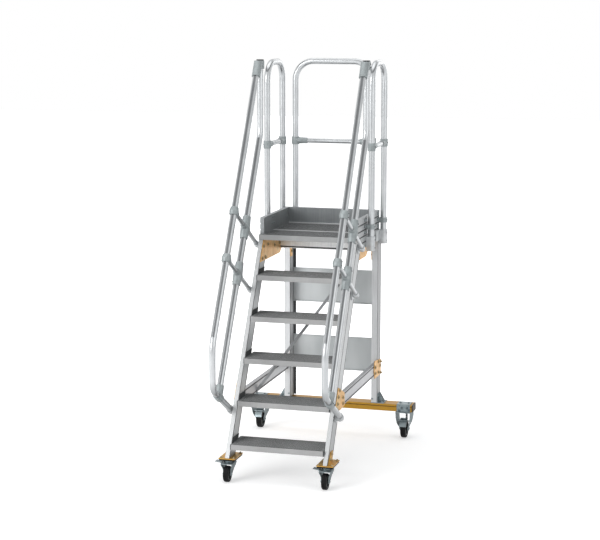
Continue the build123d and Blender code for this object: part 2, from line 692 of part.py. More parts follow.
def rail_clamp(centre, radius, length, ways):
    """Cast cross: a sleeve on a sloping rail, thick in the middle, with a tapered socket for each strut."""
    thick = radius + CLAMP_WALL + CLAMP_BULGE
    thin = radius + CLAMP_WALL
    body = cone(centre, ALONG, length / 2, thick, thin) + cone(centre, -ALONG, length / 2, thick, thin)
    for way in ways:
        body += cone(centre, way, radius + STRUT_SOCKET, CLAMP_HUB, STRUT_RADIUS + CUP_WALL)
    for way in ways:
        seat = Plane(origin=centre + way * thin, z_dir=way)
        body -= extrude(seat * Circle(STRUT_RADIUS + SEAT_GAP), 2 * STRUT_SOCKET)
    bore = Plane(origin=centre - ALONG * length, z_dir=ALONG)
    body -= extrude(bore * Circle(radius + SEAT_GAP), 2 * length)
    return body


def rail_clamps():
    clamps = []
    for side in SIDES.values():
        for z in STRUT_ZS:
            foot, knee, head = strut_line(z)
            x = Vector(side * RAIL_X, 0, 0)
            clamps.append(rail_clamp(x + knee, KNEE_RADIUS, KNEE_CLAMP_LENGTH, (INTO, -INTO)))
            clamps.append(rail_clamp(x + head, RAIL_RADIUS, CLAMP_LENGTH, (INTO,)))
    return clamps


def knee_couplers():
    """Tee pieces that carry the knee rails' lower ends on the handrails."""
    pieces = []
    for side in SIDES.values():
        low = knee_low()
        centre = Vector(side * RAIL_X, low[0], low[1])
        plane = Plane(origin=centre - INTO * (TEE_LENGTH / 2), z_dir=INTO)
        stem = Plane(origin=centre, z_dir=ALONG)
        body = extrude(plane * Circle(RAIL_RADIUS + TEE_WALL), TEE_LENGTH)
        body += extrude(stem * Circle(KNEE_RADIUS + CLAMP_WALL), RAIL_RADIUS + CLAMP_LENGTH)
        bore = Plane(origin=centre - INTO * CLAMP_LENGTH, z_dir=INTO) * Circle(RAIL_RADIUS + SEAT_GAP)
        body -= extrude(bore, 2 * CLAMP_LENGTH)
        inner = Plane(origin=centre + ALONG * (RAIL_RADIUS + CLAMP_WALL), z_dir=ALONG)
        body -= extrude(inner * Circle(KNEE_RADIUS + SEAT_GAP), 2 * CLAMP_LENGTH)
        pieces.append(body)
    return pieces


def rail_foot(side, point, radius):
    """Round disc on the stringer with a blind cup that takes a tube's lower end."""
    centre = Vector(side * RAIL_X, 0, 0) + point
    disc = Plane(origin=Vector(side * (OUTER_X + SEAT_GAP), 0, 0) + point, z_dir=(side, 0, 0))
    thick = RAIL_X - RAIL_RADIUS - OUTER_X - 2 * SEAT_GAP
    body = extrude(disc * Circle(FOOT_RADIUS), thick)
    body += extrude(disc * Circle(radius), RAIL_X - OUTER_X - SEAT_GAP)
    cup = Plane(origin=centre + INTO * CUP_FLOOR, z_dir=-INTO)
    body += extrude(cup * Circle(radius + CUP_WALL), CUP_FLOOR + CUP_LENGTH)
    body -= box(side * (OUTER_X - FOOT_RADIUS), side * (OUTER_X + SEAT_GAP),
                point.Y - 2 * FOOT_RADIUS, point.Y + 2 * FOOT_RADIUS,
                point.Z - 2 * FOOT_RADIUS, point.Z + 2 * FOOT_RADIUS)
    seat = Plane(origin=centre + INTO * SEAT_GAP, z_dir=-INTO)
    body -= extrude(seat * Circle(radius + SEAT_GAP), 3 * CUP_LENGTH)
    return body


def rail_feet():
    """Feet of the struts and of the handrails' lower ends."""
    low = lower_foot()
    rows = [(strut_line(z)[0], STRUT_RADIUS) for z in STRUT_ZS] + [(Vector(0, low[0], low[1]), RAIL_RADIUS)]
    return [rail_foot(side, point, radius) for side in SIDES.values() for point, radius in rows]


def clamp_bottom_z():
    return KNEE_TOP_Z - TOP_CLAMP_HEIGHT


def handrail_end():
    """(Y, Z) of the middle of the handrail's upper end."""
    return slope_point(HANDRAIL_OFFSET, HANDRAIL_TOP_Z)


def top_clamps():
    """Sleeve round the knee rail's upright with a slanting socket that takes the handrail's end."""
    blocks = []
    low = clamp_bottom_z()
    end = handrail_end()
    for side in SIDES.values():
        x = side * RAIL_X
        sleeve = Cylinder(KNEE_RADIUS + TOP_CLAMP_WALL, TOP_CLAMP_HEIGHT)
        sleeve = Pos(x, knee_bend()[0], low + TOP_CLAMP_HEIGHT / 2) * sleeve
        mouth = Plane(origin=Vector(x, end[0], end[1]) - ALONG * TOP_CLAMP_HEIGHT, z_dir=ALONG)
        socket = extrude(mouth * Circle(RAIL_RADIUS + TOP_CLAMP_WALL), 3 * TOP_CLAMP_HEIGHT)
        room = box(x - 2 * RAIL_RADIUS, x + 2 * RAIL_RADIUS,
                   end[0] - 2 * RAIL_RADIUS - TOP_CLAMP_HEIGHT, knee_bend()[0],
                   low - TOP_CLAMP_HEIGHT, KNEE_TOP_Z)
        body = sleeve + (socket & room)
        body -= Pos(x, knee_bend()[0], low) * Cylinder(KNEE_RADIUS + SEAT_GAP, 4 * TOP_CLAMP_HEIGHT)
        bore = Plane(origin=Vector(x, end[0], end[1]) + ALONG * SEAT_GAP, z_dir=-ALONG)
        body -= extrude(bore * Circle(RAIL_RADIUS + SEAT_GAP),
                        2 * TOP_CLAMP_HEIGHT)
        blocks.append(body)
    return blocks


def top_caps():
    """Round caps on the knee rails' upright ends."""
    high = KNEE_TOP_Z + SEAT_GAP + TOP_CAP / 2
    return [Pos(side * RAIL_X, knee_bend()[0], high) * Cylinder(KNEE_RADIUS + TOP_CAP / 2, TOP_CAP)
            for side in SIDES.values()]


def swivel_y():
    return FRONT_WHEEL_Y + FRONT_TRAIL


def castor_mounts():
    mounts = []
    for side in SIDES.values():
        middle = rail_x(side)
        high = MOUNT_TOP_Z - SEAT_GAP
        plate = box(middle - MOUNT_WIDTH / 2, middle + MOUNT_WIDTH / 2, MOUNT_BACK_Y - MOUNT_DEPTH, MOUNT_BACK_Y,
                    MOUNT_TOP_Z - MOUNT_PLATE, high)
        low_y = front_line_y(MOUNT_TOP_Z) + STRINGER_DEPTH / 2 / sin(SLOPE)
        high_z = MOUNT_TOP_Z + MOUNT_TAB_HEIGHT
        high_y = front_line_y(high_z) + STRINGER_DEPTH / 2 / sin(SLOPE)
        tab = [(low_y - MOUNT_TAB_WIDTH, high), (low_y + MOUNT_TAB_WIDTH, high),
               (high_y + MOUNT_TAB_WIDTH / 2, high_z), (high_y - MOUNT_TAB_WIDTH / 2, high_z)]
        plate += plate_x(tab, side * (OUTER_X + SEAT_GAP), side * (OUTER_X + MOUNT_PLATE))
        mounts.append(plate)
    return mounts


def castor_pads():
    pads = []
    high = MOUNT_TOP_Z - MOUNT_PLATE
    for side in SIDES.values():
        middle = rail_x(side)
        inset = MOUNT_PLATE / 2
        pads.append(box(middle - MOUNT_WIDTH / 2 + inset, middle + MOUNT_WIDTH / 2 - inset,
                        MOUNT_BACK_Y - MOUNT_DEPTH + inset, MOUNT_BACK_Y - inset, high - PAD_THICK, high))
    return pads


def head_top_z():
    return MOUNT_TOP_Z - MOUNT_PLATE - PAD_THICK


def swivel_heads():
    heads = []
    for side in SIDES.values():
        x = side * FRONT_WHEEL_X
        top = head_top_z()
        body = box(x - HEAD_PLATE_HALF, x + HEAD_PLATE_HALF,
                   swivel_y() - HEAD_PLATE_HALF, swivel_y() + HEAD_PLATE_HALF,
                   top - HEAD_PLATE, top)
        body += Pos(x, swivel_y(), top - HEAD_PLATE - HEAD_HEIGHT / 2) * Cylinder(HEAD_RADIUS, HEAD_HEIGHT)
        heads.append(body)
    return heads


def fork_top_z():
    return head_top_z() - HEAD_PLATE - HEAD_HEIGHT - HEAD_GAP


def sheet_leg(x, face, widths, outline, sheet):
    """Fork's leg: widths are (Z, distance of its outer face from x), the outline is its side view in (Y, Z)."""
    outer = [(x + face * wide, z) for z, wide in widths]
    inner = [(x + face * (wide - sheet), z) for z, wide in reversed(widths)]
    ys = [y for y, z in outline]
    reach = max(wide for z, wide in widths) + CUT_OVERRUN
    return plate_y(outer + inner, min(ys), max(ys)) & plate_x(outline, x - reach, x + reach)


def front_fork(side):
    x = side * FRONT_WHEEL_X
    y = FRONT_WHEEL_Y
    top = fork_top_z()
    skirt = top - FORK_SKIRT
    axle_z = FRONT_WHEEL_RADIUS
    boss = HUB_RADIUS
    heel = swivel_y() + HEAD_RADIUS
    waist = FRONT_WHEEL_WIDTH / 2 + FORK_SIDE_GAP + FORK_SHEET
    crown = Pos(x, swivel_y(), top - FORK_SHEET / 2) * Cylinder(HEAD_RADIUS, FORK_SHEET)
    crown += box(x - FORK_HALF, x + FORK_HALF, y - FORK_NOSE, heel, top - FORK_SHEET, top)
    widths = [(top, FORK_HALF), (skirt, FORK_HALF), (FORK_WAIST_Z, waist), (axle_z - boss, waist)]
    outline = [(y - FORK_NOSE, top), (y - FORK_NOSE, skirt), (y - boss, FORK_WAIST_Z + boss),
               (y - boss, axle_z - boss / 2),
               (y - boss / 2, axle_z - boss), (y + boss / 2, axle_z - boss), (y + boss, axle_z - boss / 2),
               (heel - boss, FORK_WAIST_Z), (heel, skirt - boss), (heel, top)]
    for face in (-1, 1):
        crown += sheet_leg(x, face, widths, outline, FORK_SHEET)
    reach = waist + FORK_SHEET
    crown += rod((x - reach, y, axle_z), (x + reach, y, axle_z), AXLE_RADIUS)
    return crown


def brake_pedal(side):
    """Flat tongue beside the fork's crown, bent up a little to its tip, on a tab down the fork's leg."""
    x = side * FRONT_WHEEL_X
    high = fork_top_z()
    root = x - FORK_HALF - SEAT_GAP
    neck = x - PEDAL_ROOT
    tip = x - PEDAL_REACH
    outline = [(root, high - FORK_SKIRT), (root, high - SEAT_GAP), (neck, high + PEDAL_THICK),
               (tip, high + 2 * PEDAL_THICK),
               (tip, high + PEDAL_THICK), (neck - PEDAL_THICK, high), (neck, high - FORK_SKIRT)]
    middle = (FRONT_WHEEL_Y + swivel_y()) / 2
    return plate_y(outline, middle - PEDAL_WIDTH / 2, middle + PEDAL_WIDTH / 2)


def wheel_parts(x, y, radius, width):
    """Tyre and hub, turned about the axle's line."""
    rim = radius * RIM_RADIUS_SHARE
    axis = Plane(origin=(x - width / 2, y, radius), z_dir=(1, 0, 0))
    tyre = extrude(axis * Circle(radius), width)
    tyre = fillet(tyre.edges(), width / 5)
    tyre -= extrude(axis * Circle(rim), width)
    hub = extrude(axis * Circle(rim), width)
    hollow = width / 4
    for start in (x - width / 2, x + width / 2 - hollow):
        ring = Plane(origin=(start, y, radius), z_dir=(1, 0, 0))
        hub -= extrude(ring * Circle(rim * 5 / 6) - ring * Circle(HUB_RADIUS), hollow)
    long = width + FORK_SIDE_GAP * 2 - SEAT_GAP * 4
    core = Plane(origin=(x - long / 2, y, radius), z_dir=(1, 0, 0))
    hub += extrude(core * Circle(HUB_RADIUS), long)
    hub -= extrude(core * Circle(AXLE_RADIUS + RUN_GAP), long)
    return tyre, hub


def rear_fork(side):
    """Fixed fork: a crown under the beam, two legs drawn in to the axle, and a guard over the tyre's front."""
    x = side * REAR_WHEEL_X
    y = REAR_WHEEL_Y
    top = BEAM_BOTTOM_Z - SEAT_GAP
    wide = REAR_LEG_ROWS[0][1]
    deep = REAR_LEG_ROWS[0][2]
    body = box(x - wide, x + wide, y - deep, y + deep, top - REAR_CROWN, top)
    widths = [(z, half) for z, half, depth in REAR_LEG_ROWS]
    outline = [(y - depth, z) for z, half, depth in REAR_LEG_ROWS]
    outline += [(y + depth, z) for z, half, depth in reversed(REAR_LEG_ROWS)]
    for face in (-1, 1):
        body += sheet_leg(x, face, widths, outline, REAR_FORK_SHEET)
    reach = REAR_LEG_ROWS[-2][1] + REAR_FORK_SHEET
    body += rod((x - reach, y, REAR_WHEEL_RADIUS), (x + reach, y, REAR_WHEEL_RADIUS), AXLE_RADIUS)
    inner = REAR_WHEEL_RADIUS + GUARD_GAP
    axis = Plane(origin=(x - GUARD_HALF, y, REAR_WHEEL_RADIUS), z_dir=(1, 0, 0))
    guard = extrude(axis * Circle(inner + GUARD_SHEET) - axis * Circle(inner), 2 * GUARD_HALF)
    guard &= box(x - wide, x + wide, y - 2 * inner, y + GUARD_SHEET, REAR_WHEEL_RADIUS + GUARD_HALF, top)
    body += guard
    pin_y = y - (inner + GUARD_SHEET / 2) * cos(SLOPE)
    pin_z = REAR_WHEEL_RADIUS + (inner + GUARD_SHEET / 2) * sin(SLOPE)
    pin = wide - REAR_FORK_SHEET - GUARD_PIN / 2
    body += rod((x - pin, pin_y, pin_z), (x + pin, pin_y, pin_z), GUARD_PIN)
    post_x = x + GUARD_HALF - 2 * GUARD_PIN
    pin_y = y - 2 * GUARD_PIN
    body += rod((post_x, pin_y, REAR_WHEEL_RADIUS + inner), (post_x, pin_y, top - REAR_CROWN), GUARD_PIN)
    return body


def rear_forks():
    return [rear_fork(side) for side in SIDES.values()]


def rear_brackets():
    """Bent sheets over the beam's top and front that hold the rear castors."""
    pieces = []
    for side in SIDES.values():
        x = side * REAR_WHEEL_X
        half = BRACKET_WIDTH / 2
        high = BEAM_TOP_Z + BRACKET_SHEET
        sheet = box(x - half, x + half, BEAM_FRONT_Y - BRACKET_SHEET, BEAM_FRONT_Y - SEAT_GAP, BEAM_BOTTOM_Z, high)
        sheet += box(x - half, x + half, BEAM_FRONT_Y - BRACKET_SHEET, BEAM_FRONT_Y + BRACKET_REACH,
                     BEAM_TOP_Z + SEAT_GAP, high)
        pieces.append(sheet)
    return pieces


def build_parts():
    parts = {}
    for name, side in SIDES.items():
        parts["stringer_" + name] = stringer(side)
        parts["platform_side_" + name] = platform_side(side)
        parts["rear_post_" + name] = rear_post(side)
        parts["hoop_" + name] = side_hoop(side)
        parts["handrail_" + name] = handrail(side)
        parts["knee_rail_" + name] = knee_rail(side)
        parts["front_fork_" + name] = front_fork(side)
        parts["brake_pedal_" + name] = brake_pedal(side)
        tyre, hub = wheel_parts(side * FRONT_WHEEL_X, FRONT_WHEEL_Y, FRONT_WHEEL_RADIUS, FRONT_WHEEL_WIDTH)
        parts["front_tyre_" + name] = tyre
        parts["front_hub_" + name] = hub
        tyre, hub = wheel_parts(side * REAR_WHEEL_X, REAR_WHEEL_Y, REAR_WHEEL_RADIUS, REAR_WHEEL_WIDTH)
        parts["rear_tyre_" + name] = tyre
        parts["rear_hub_" + name] = hub
    for index in range(STEP_COUNT - 1):
        parts["tread_" + str(index + 1)] = tread(index)
    parts["back_panels"] = [back_panel(bottom_z) for bottom_z in PANEL_BOTTOMS.values()]
    parts["platform_deck"] = deck()
    parts["platform_back_board"] = back_board()
    parts["platform_cross_beam"] = cross_beam()
    parts["back_beam"] = back_beam()
    parts["beam_end_caps"] = beam_caps()
    parts["cross_brace"] = cross_brace()
    parts["side_rails"] = [side_rail(side) for side in SIDES.values()]
    parts["gussets"] = [make(side) for make in (front_gusset, rear_gusset) for side in SIDES.values()]
    parts["joint_plates"] = [make(side) for make in (stringer_joint_plate, post_joint_plate)
                             for side in SIDES.values()]
    parts["post_feet"] = [post_foot(side) for side in SIDES.values()]
    parts["hoop_back"] = back_hoop()
    parts["mid_rails"] = mid_rails()
    parts["mid_rail_couplers"] = [coupler(x, y, way) for x, y, out, way in hoop_legs()]
    parts["leg_sockets"] = leg_sockets()
    parts["leg_rings"] = leg_rings()
    parts["struts"] = struts()
    parts["rail_clamps"] = rail_clamps() + knee_couplers()
    parts["rail_feet"] = rail_feet()
    parts["top_clamps"] = top_clamps()
    parts["top_caps"] = top_caps()
    parts["castor_mounts"] = castor_mounts()
    parts["castor_pads"] = castor_pads()
    parts["swivel_heads"] = swivel_heads()
    parts["rear_forks"] = rear_forks()
    parts["rear_brackets"] = rear_brackets()
    return parts


def place(shape):
    """Move a piece, or a group of like pieces, to the part's origin."""
    shift = Pos(0, -ORIGIN_Y, 0)
    if isinstance(shape, list):
        return Compound(children=[shift * piece for piece in shape])
    return shift * shape


os.makedirs("parts", exist_ok=True)
for name, shape in build_parts().items():
    export_step(place(shape), "parts/" + name + ".step")
print("origin stands", round(ORIGIN_Y, 2), "mm behind the lowest nose")
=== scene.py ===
# %% [markdown]
# # Mobile platform stairs
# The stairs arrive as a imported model: every profile, tube, plate and wheel is already in place, in
# metres, with Z up and Y towards the back of the platform. This lesson dresses them. Materials are
# worked out for each real finish, and the small things that a solid model leaves out, such as
# screws, washers, tyre grooves and springs, are made as surfaces on grids of numbers.

# %% Load the fixed frame
import json
import math

import bmesh
import bpy
import numpy as np
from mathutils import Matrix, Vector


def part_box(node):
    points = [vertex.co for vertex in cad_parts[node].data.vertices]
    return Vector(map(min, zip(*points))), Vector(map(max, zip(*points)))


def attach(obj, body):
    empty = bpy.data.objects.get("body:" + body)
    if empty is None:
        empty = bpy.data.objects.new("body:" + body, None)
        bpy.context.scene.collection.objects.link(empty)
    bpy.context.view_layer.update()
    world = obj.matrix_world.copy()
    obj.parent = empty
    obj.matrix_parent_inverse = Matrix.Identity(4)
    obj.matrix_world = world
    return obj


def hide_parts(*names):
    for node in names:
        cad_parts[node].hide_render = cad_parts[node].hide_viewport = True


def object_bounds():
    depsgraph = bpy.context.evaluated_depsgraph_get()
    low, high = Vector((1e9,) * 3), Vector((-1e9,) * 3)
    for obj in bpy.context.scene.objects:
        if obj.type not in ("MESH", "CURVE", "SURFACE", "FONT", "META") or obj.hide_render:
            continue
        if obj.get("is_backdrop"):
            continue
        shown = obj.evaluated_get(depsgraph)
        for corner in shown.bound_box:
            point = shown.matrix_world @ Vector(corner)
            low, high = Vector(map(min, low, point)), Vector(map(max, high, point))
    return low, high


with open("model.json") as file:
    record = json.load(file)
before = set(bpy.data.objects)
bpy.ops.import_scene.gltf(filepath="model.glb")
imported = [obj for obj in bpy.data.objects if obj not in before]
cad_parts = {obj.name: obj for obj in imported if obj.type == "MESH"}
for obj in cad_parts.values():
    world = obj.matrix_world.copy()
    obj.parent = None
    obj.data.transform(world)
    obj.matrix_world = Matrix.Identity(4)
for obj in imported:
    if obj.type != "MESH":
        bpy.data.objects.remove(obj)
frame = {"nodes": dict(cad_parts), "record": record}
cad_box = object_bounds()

nodes = frame["nodes"]
print(len(nodes), "pieces arrive with the frame")

# %% [markdown]
# A stair builder measures from the nose of the lowest step, in millimetres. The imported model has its
# origin under the middle of the stairs, so one small function turns a workshop measure into a place
# in the scene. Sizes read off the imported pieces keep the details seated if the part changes.

# %% Workshop measures
MM = 0.001
nose_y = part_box("tread_1")[0].y
outer_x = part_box("stringer_right")[1].x / MM
inner_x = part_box("stringer_right")[0].x / MM
slope = math.radians(60)


def at(x, y, z):
    """Place in metres of a point given in millimetres from the lowest nose, the middle and the floor."""
    return np.array([x * MM, y * MM + nose_y, z * MM])


FRONT_EDGE = (25.0, 232.0)
STRINGER_DEPTH = 110.0


def off_stringer(z, out=0.0, along=0.0):
    """(Y, Z) this far out in front of the stringers' middle line, and along it, from a height on it."""
    rise, run = math.sin(slope), math.cos(slope)
    y = FRONT_EDGE[0] + (z - FRONT_EDGE[1]) / math.tan(slope) + STRINGER_DEPTH / 2 / rise
    return y - out * rise + along * run, z + out * run + along * rise


print("stringers stand", round(inner_x), "to", round(outer_x), "mm from the middle")

# %% [markdown]
# ## Numbers that become shader nodes
# A finish is easier to read as a sum than as a web of wires. The class below wraps the output of a
# shader node, and plus, minus and times on it add the Math nodes for us. Building the same thing by
# hand in the editor works too, but nobody could check it at a glance.


# %% Arithmetic on sockets
class Wire:
    """The output of a node, ready for sums with numbers and with other wires."""

    def __init__(self, net, socket):
        self.net = net
        self.socket = socket

    def _sum(self, operation, *terms):
        return self.net.node("ShaderNodeMath", {"operation": operation}, dict(enumerate(terms)))

    def __add__(self, other):
        return self._sum("ADD", self, other)

    def __radd__(self, other):
        return self._sum("ADD", other, self)

    def __sub__(self, other):
        return self._sum("SUBTRACT", self, other)

    def __rsub__(self, other):
        return self._sum("SUBTRACT", other, self)

    def __mul__(self, other):
        return self._sum("MULTIPLY", self, other)

    def __rmul__(self, other):
        return self._sum("MULTIPLY", other, self)

    def __abs__(self):
        return self._sum("ABSOLUTE", self)

    def larger(self, other):
        return self._sum("MAXIMUM", self, other)

    def to_nearest(self, pitch):
        """Distance to the nearest multiple of a pitch."""
        return self._sum("PINGPONG", self, pitch / 2)

    def ramp(self, low, high):
        """0 at the low value, 1 at the high one, eased between and held flat outside."""
        settings = {"interpolation_type": "SMOOTHSTEP", "clamp": True}
        return self.net.node("ShaderNodeMapRange", settings, {0: self, 1: low, 2: high, 3: 0.0, 4: 1.0})


# %% [markdown]
# Every other node comes from one method, which sets a node's options before its sockets, because
# some sockets wait for an option. A material and the white surrounding are both nets of nodes, so
# one class serves them both, and the last method here tells light that falls on the stairs from
# what the eye and its mirror rays see.


# %% The one method that adds nodes
class Net:
    """The nodes of a material, or of the surroundings."""

    def __init__(self, owner):
        owner.use_nodes = True
        self.tree = owner.node_tree

    def put(self, socket, value):
        """Links a wire to a socket, or writes a number, a vector or a colour there."""
        if isinstance(value, Wire):
            self.tree.links.new(value.socket, socket)
        elif socket.type == "RGBA":
            socket.default_value = (*value, 1.0)
        else:
            socket.default_value = value

    def node(self, kind, settings=None, values=None, out=0):
        """Adds any node: its settings first, then a number or a wire for each socket."""
        made = self.tree.nodes.new(kind)
        for label, value in (settings or {}).items():
            setattr(made, label, value)
        for label, value in (values or {}).items():
            self.put(made.inputs[label], value)
        return Wire(self, made.outputs[out]) if made.outputs else None

    def seen(self):
        """1 for what meets the eye, straight, mirrored or through glass, and 0 for light that falls."""
        eye, gloss, through = (self.node("ShaderNodeLightPath", out=kind)
                               for kind in ("Is Camera Ray", "Is Glossy Ray", "Is Transmission Ray"))
        return eye.larger(gloss).larger(through)


# %% [markdown]
# A finish starts as one principled shader with plain values. What wears or gathers dirt, and the
# painted shade, highlights and reflections, are then worked out from where a point lies and which way
# it faces, so nothing has to be painted by hand. The rounded edges of the bevel node are only for the
# eye: the mesh keeps its size.


# %% A finish and its usual ingredients
class Finish(Net):
    """One material, with its principled shader ready to be fed."""

    def __init__(self, name, base, metallic, roughness, **constants):
        self.material = bpy.data.materials.new(name)
        super().__init__(self.material)
        self.shader = self.tree.nodes["Principled BSDF"]
        self.rounded = None
        self.feed("Base Color", base)
        self.feed("Metallic", metallic)
        self.feed("Roughness", roughness)
        for label, value in constants.items():
            self.feed(label.replace("_", " "), value)
        print("finish:", name)

    def feed(self, label, value):
        """Gives the principled shader a number, a colour or a wire."""
        self.put(self.shader.inputs[label], value)

    def place(self, turn=(0.0, 0.0, 0.0), stretch=(1.0, 1.0, 1.0)):
        """Object coordinates, turned about X, Y and Z and stretched."""
        where = self.node("ShaderNodeTexCoord", out="Object")
        return self.node("ShaderNodeMapping", {"vector_type": "POINT"},
                         {"Vector": where, "Rotation": turn, "Scale": stretch})

    def noise(self, where, scale, detail=3.0, rough=0.55):
        """Cloudy values from 0 to 1."""
        values = {"Vector": where, "Scale": scale, "Detail": detail, "Roughness": rough}
        return self.node("ShaderNodeTexNoise", None, values)

    def axis(self, where, letter):
        """One number of a place or a direction."""
        return self.node("ShaderNodeSeparateXYZ", None, {0: where}, out=letter)

    def mix(self, share, first, second):
        """Blend of two colours, share 0 giving the first."""
        return self.node("ShaderNodeMix", {"data_type": "RGBA"}, {0: share, 6: first, 7: second}, out=2)

    def facing(self, letter):
        """How far the surface faces along an axis, from -1 to 1."""
        normal = self.node("ShaderNodeNewGeometry", out="Normal")
        return self.axis(normal, letter)

    def edge(self, radius=0.0012):
        """1 along sharp edges: there the normal of a rounded edge turns away from the real one."""
        self.rounded = self.node("ShaderNodeBevel", {"samples": 4}, {"Radius": radius})
        real = self.node("ShaderNodeNewGeometry", out="Normal")
        same = self.node("ShaderNodeVectorMath", {"operation": "DOT_PRODUCT"},
                         {0: self.rounded, 1: real}, out="Value")
        return (1 - same).ramp(0.01, 0.16)

    def bump(self, height, depth, strength=1.0):
        """Small relief, with its depth in metres, over the rounded edges where the finish has them."""
        values = {"Height": height, "Distance": depth, "Strength": strength}
        if self.rounded:
            values["Normal"] = self.rounded
        self.feed("Normal", self.node("ShaderNodeBump", None, values))


# %% [markdown]
# ## Drawn aluminium
# Stringers, posts, rails and boards are pushed through a die, so their faces carry faint lines that
# run along the length, with a dull satin sheen and small handling marks. A flat grey would look like
# plastic. Noise squeezed along one direction gives the lines, and each profile gets them along its
# own length, so the material takes the profile's slope as a value. The grooves of these profiles get
# painted shade from a mask measured across the profile. The edges are lighter, partly rubbed bright
# by hands and straps and partly a painted highlight. Faces that look along X can get painted shade.
# The boards round the platform are painted darker inside, a painted reflection of a dark
# surrounding, and have level slots outside, painted with shade.


# %% Finish of drawn profiles
# Painted shade for the grooves and slots of the profiles and for the pressed lines on the treads.
GROOVE_SHADE = (0.022, 0.023, 0.025)
# Dark tones for a painted reflection on the inner faces of the boards.
BOARD_REFLECTION_TONES = ((0.24, 0.255, 0.262), (0.35, 0.365, 0.375))
# Near-black tones for a painted shadow in the slot of each post that holds the panels.
SHADOW_GAP_TONES = ((0.012, 0.012, 0.013), (0.03, 0.03, 0.031))


def times(colour, factor):
    """The same hue, darker or lighter."""
    return tuple(c * factor for c in colour)


def drawn(name, turn, colour=(0.50, 0.51, 0.515), grooves=None, inside=None, tones=BOARD_REFLECTION_TONES,
          slots=None, metal=0.65, side_shade=0.0):
    """Satin extruded metal whose lines run along Z after the turn.

    grooves: the turned letter across the profile, its middle, the two grooves' distance from it and
    their half width, in metres; the grooves are painted with shade.
    inside: a function of the finish that gives 1 on the faces that have the two darker tones, a painted
    dark reflection on the boards and a painted shadow in the posts' panel slot.
    slots: lowest height, pitch, count and half width of level grooves on the other faces, painted with
    shade.
    side_shade: how much painted shade darkens the faces that look along X, which also get coarser.
    """
    gloss = 0.40
    made = Finish(name, colour, metal, gloss, Specular_IOR_Level=0.3)
    along = made.place(turn, (1.0, 1.0, 0.012))
    lines = made.noise(along, 420.0, 2.0)
    clouds = made.noise(made.place(turn, (1.0, 1.0, 0.25)), 6.0, 4.0)
    scuffs = made.noise(made.place(), 38.0, 6.0, 0.7).ramp(0.62, 0.78)
    tone = (lines * 0.45 + clouds * 0.55).ramp(0.32, 0.72)
    edge = made.edge()
    base = made.mix(tone, times(colour, 0.74), colour)
    shade = inside(made) if inside else 0.0
    # The two darker tones paint a dark reflection on the boards' inner faces and a shadow in the posts'
    # panel slot.
    if inside:
        base = made.mix(shade, base, made.mix(tone, *tones))
    # Painted shade on the faces that look along X, which also get coarser.
    side = abs(made.facing("X")).ramp(0.6, 0.9) * side_shade
    base = made.mix(side * 0.5, base, times(colour, 0.4))
    # Lighter edges, partly rubbed bright and partly a painted highlight.
    base = made.mix(edge * (0.5 - shade * 0.4), base, (0.80, 0.81, 0.81))
    # Painted shade in the two grooves of a profile.
    if grooves:
        letter, middle, offset, half = grooves
        across = made.axis(made.place(turn), letter)
        depth = 1 - abs(abs(across - middle) - offset).ramp(half * 0.8, half * 1.15)
        base = made.mix(depth * 0.92, base, GROOVE_SHADE)
    # Painted shade in the level slots.
    if slots:
        low, pitch, count, half = slots
        height = made.axis(made.place(), "Z") - low
        line = 1 - height.to_nearest(pitch).ramp(half * 0.85, half * 1.15)
        span = pitch * (count + 1) / 2
        line = line * (1 - abs(height - span).ramp(span - pitch * 0.45, span - pitch * 0.4)) * (1 - shade)
        base = made.mix(line * 0.93, base, GROOVE_SHADE)
    made.feed("Base Color", base)
    made.feed("Metallic", metal - side * 0.3)
    made.feed("Roughness", gloss - 0.06 + clouds * 0.16 + scuffs * 0.18 + side * 0.14 - edge * 0.08)
    made.bump(lines * 0.7 + scuffs * 0.3, 0.0002, 0.35)
    return made.material


UPRIGHT = (0.0, 0.0, 0.0)
ALONG_X = (0.0, math.radians(90), 0.0)
ALONG_Y = (math.radians(90), 0.0, 0.0)
ALONG_SLOPE = (math.radians(30), 0.0, 0.0)
GROOVE_INSET = 9.0 * MM
GROOVE_HALF = 4.6 * MM
SLOT_HALF = 4.4 * MM


def across_slope(y, z):
    """Measure across the stringer, in metres, of a place given as metres in Y and Z."""
    return y * math.sin(slope) - z * math.cos(slope)


def middle_of(node, letter):
    """Middle of a node's box along one direction, in metres."""
    low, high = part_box(node)
    return (getattr(low, letter) + getattr(high, letter)) / 2


def half_of(node, letter):
    """Half the size of a node's box along one direction, in metres."""
    low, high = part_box(node)
    return (getattr(high, letter) - getattr(low, letter)) / 2


def two_grooves(turned_letter, middle, half):
    """Grooves a fixed inset from both edges of a profile with this middle and half width."""
    return turned_letter, middle, half - GROOVE_INSET, GROOVE_HALF


front_corner = at(0, *FRONT_EDGE)
half_depth = STRINGER_DEPTH / 2 * MM
stringer_grooves = two_grooves("Y", across_slope(*front_corner[1:]) + half_depth, half_depth)
post_grooves = two_grooves("Y", middle_of("rear_post_left", "y"), half_of("rear_post_left", "y"))
rail_grooves = two_grooves("Y", -middle_of("side_rails", "z"), half_of("side_rails", "z"))
beam_grooves = two_grooves("X", middle_of("platform_cross_beam", "z"), half_of("platform_cross_beam", "z"))


def board_inside(made):
    """1 on all faces of the side boards but the outer ones."""
    return 1 - ((made.facing("X") * made.axis(made.place(), "X")) * 20.0).ramp(1.0, 3.0)


def back_inside(made):
    """1 on all faces of the back board but the rear one."""
    return 1 - made.facing("Y").ramp(0.3, 0.7)


def post_shadow_gap(made):
    """1 on the last stretch of the post's inner flange, painted dark as the shadow in the slot that holds
    the panels.
    """
    flange = abs(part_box("rear_post_left")[1].x)
    return 1 - abs(made.axis(made.place(), "X")).ramp(flange + 5.0 * MM, flange + 5.6 * MM)


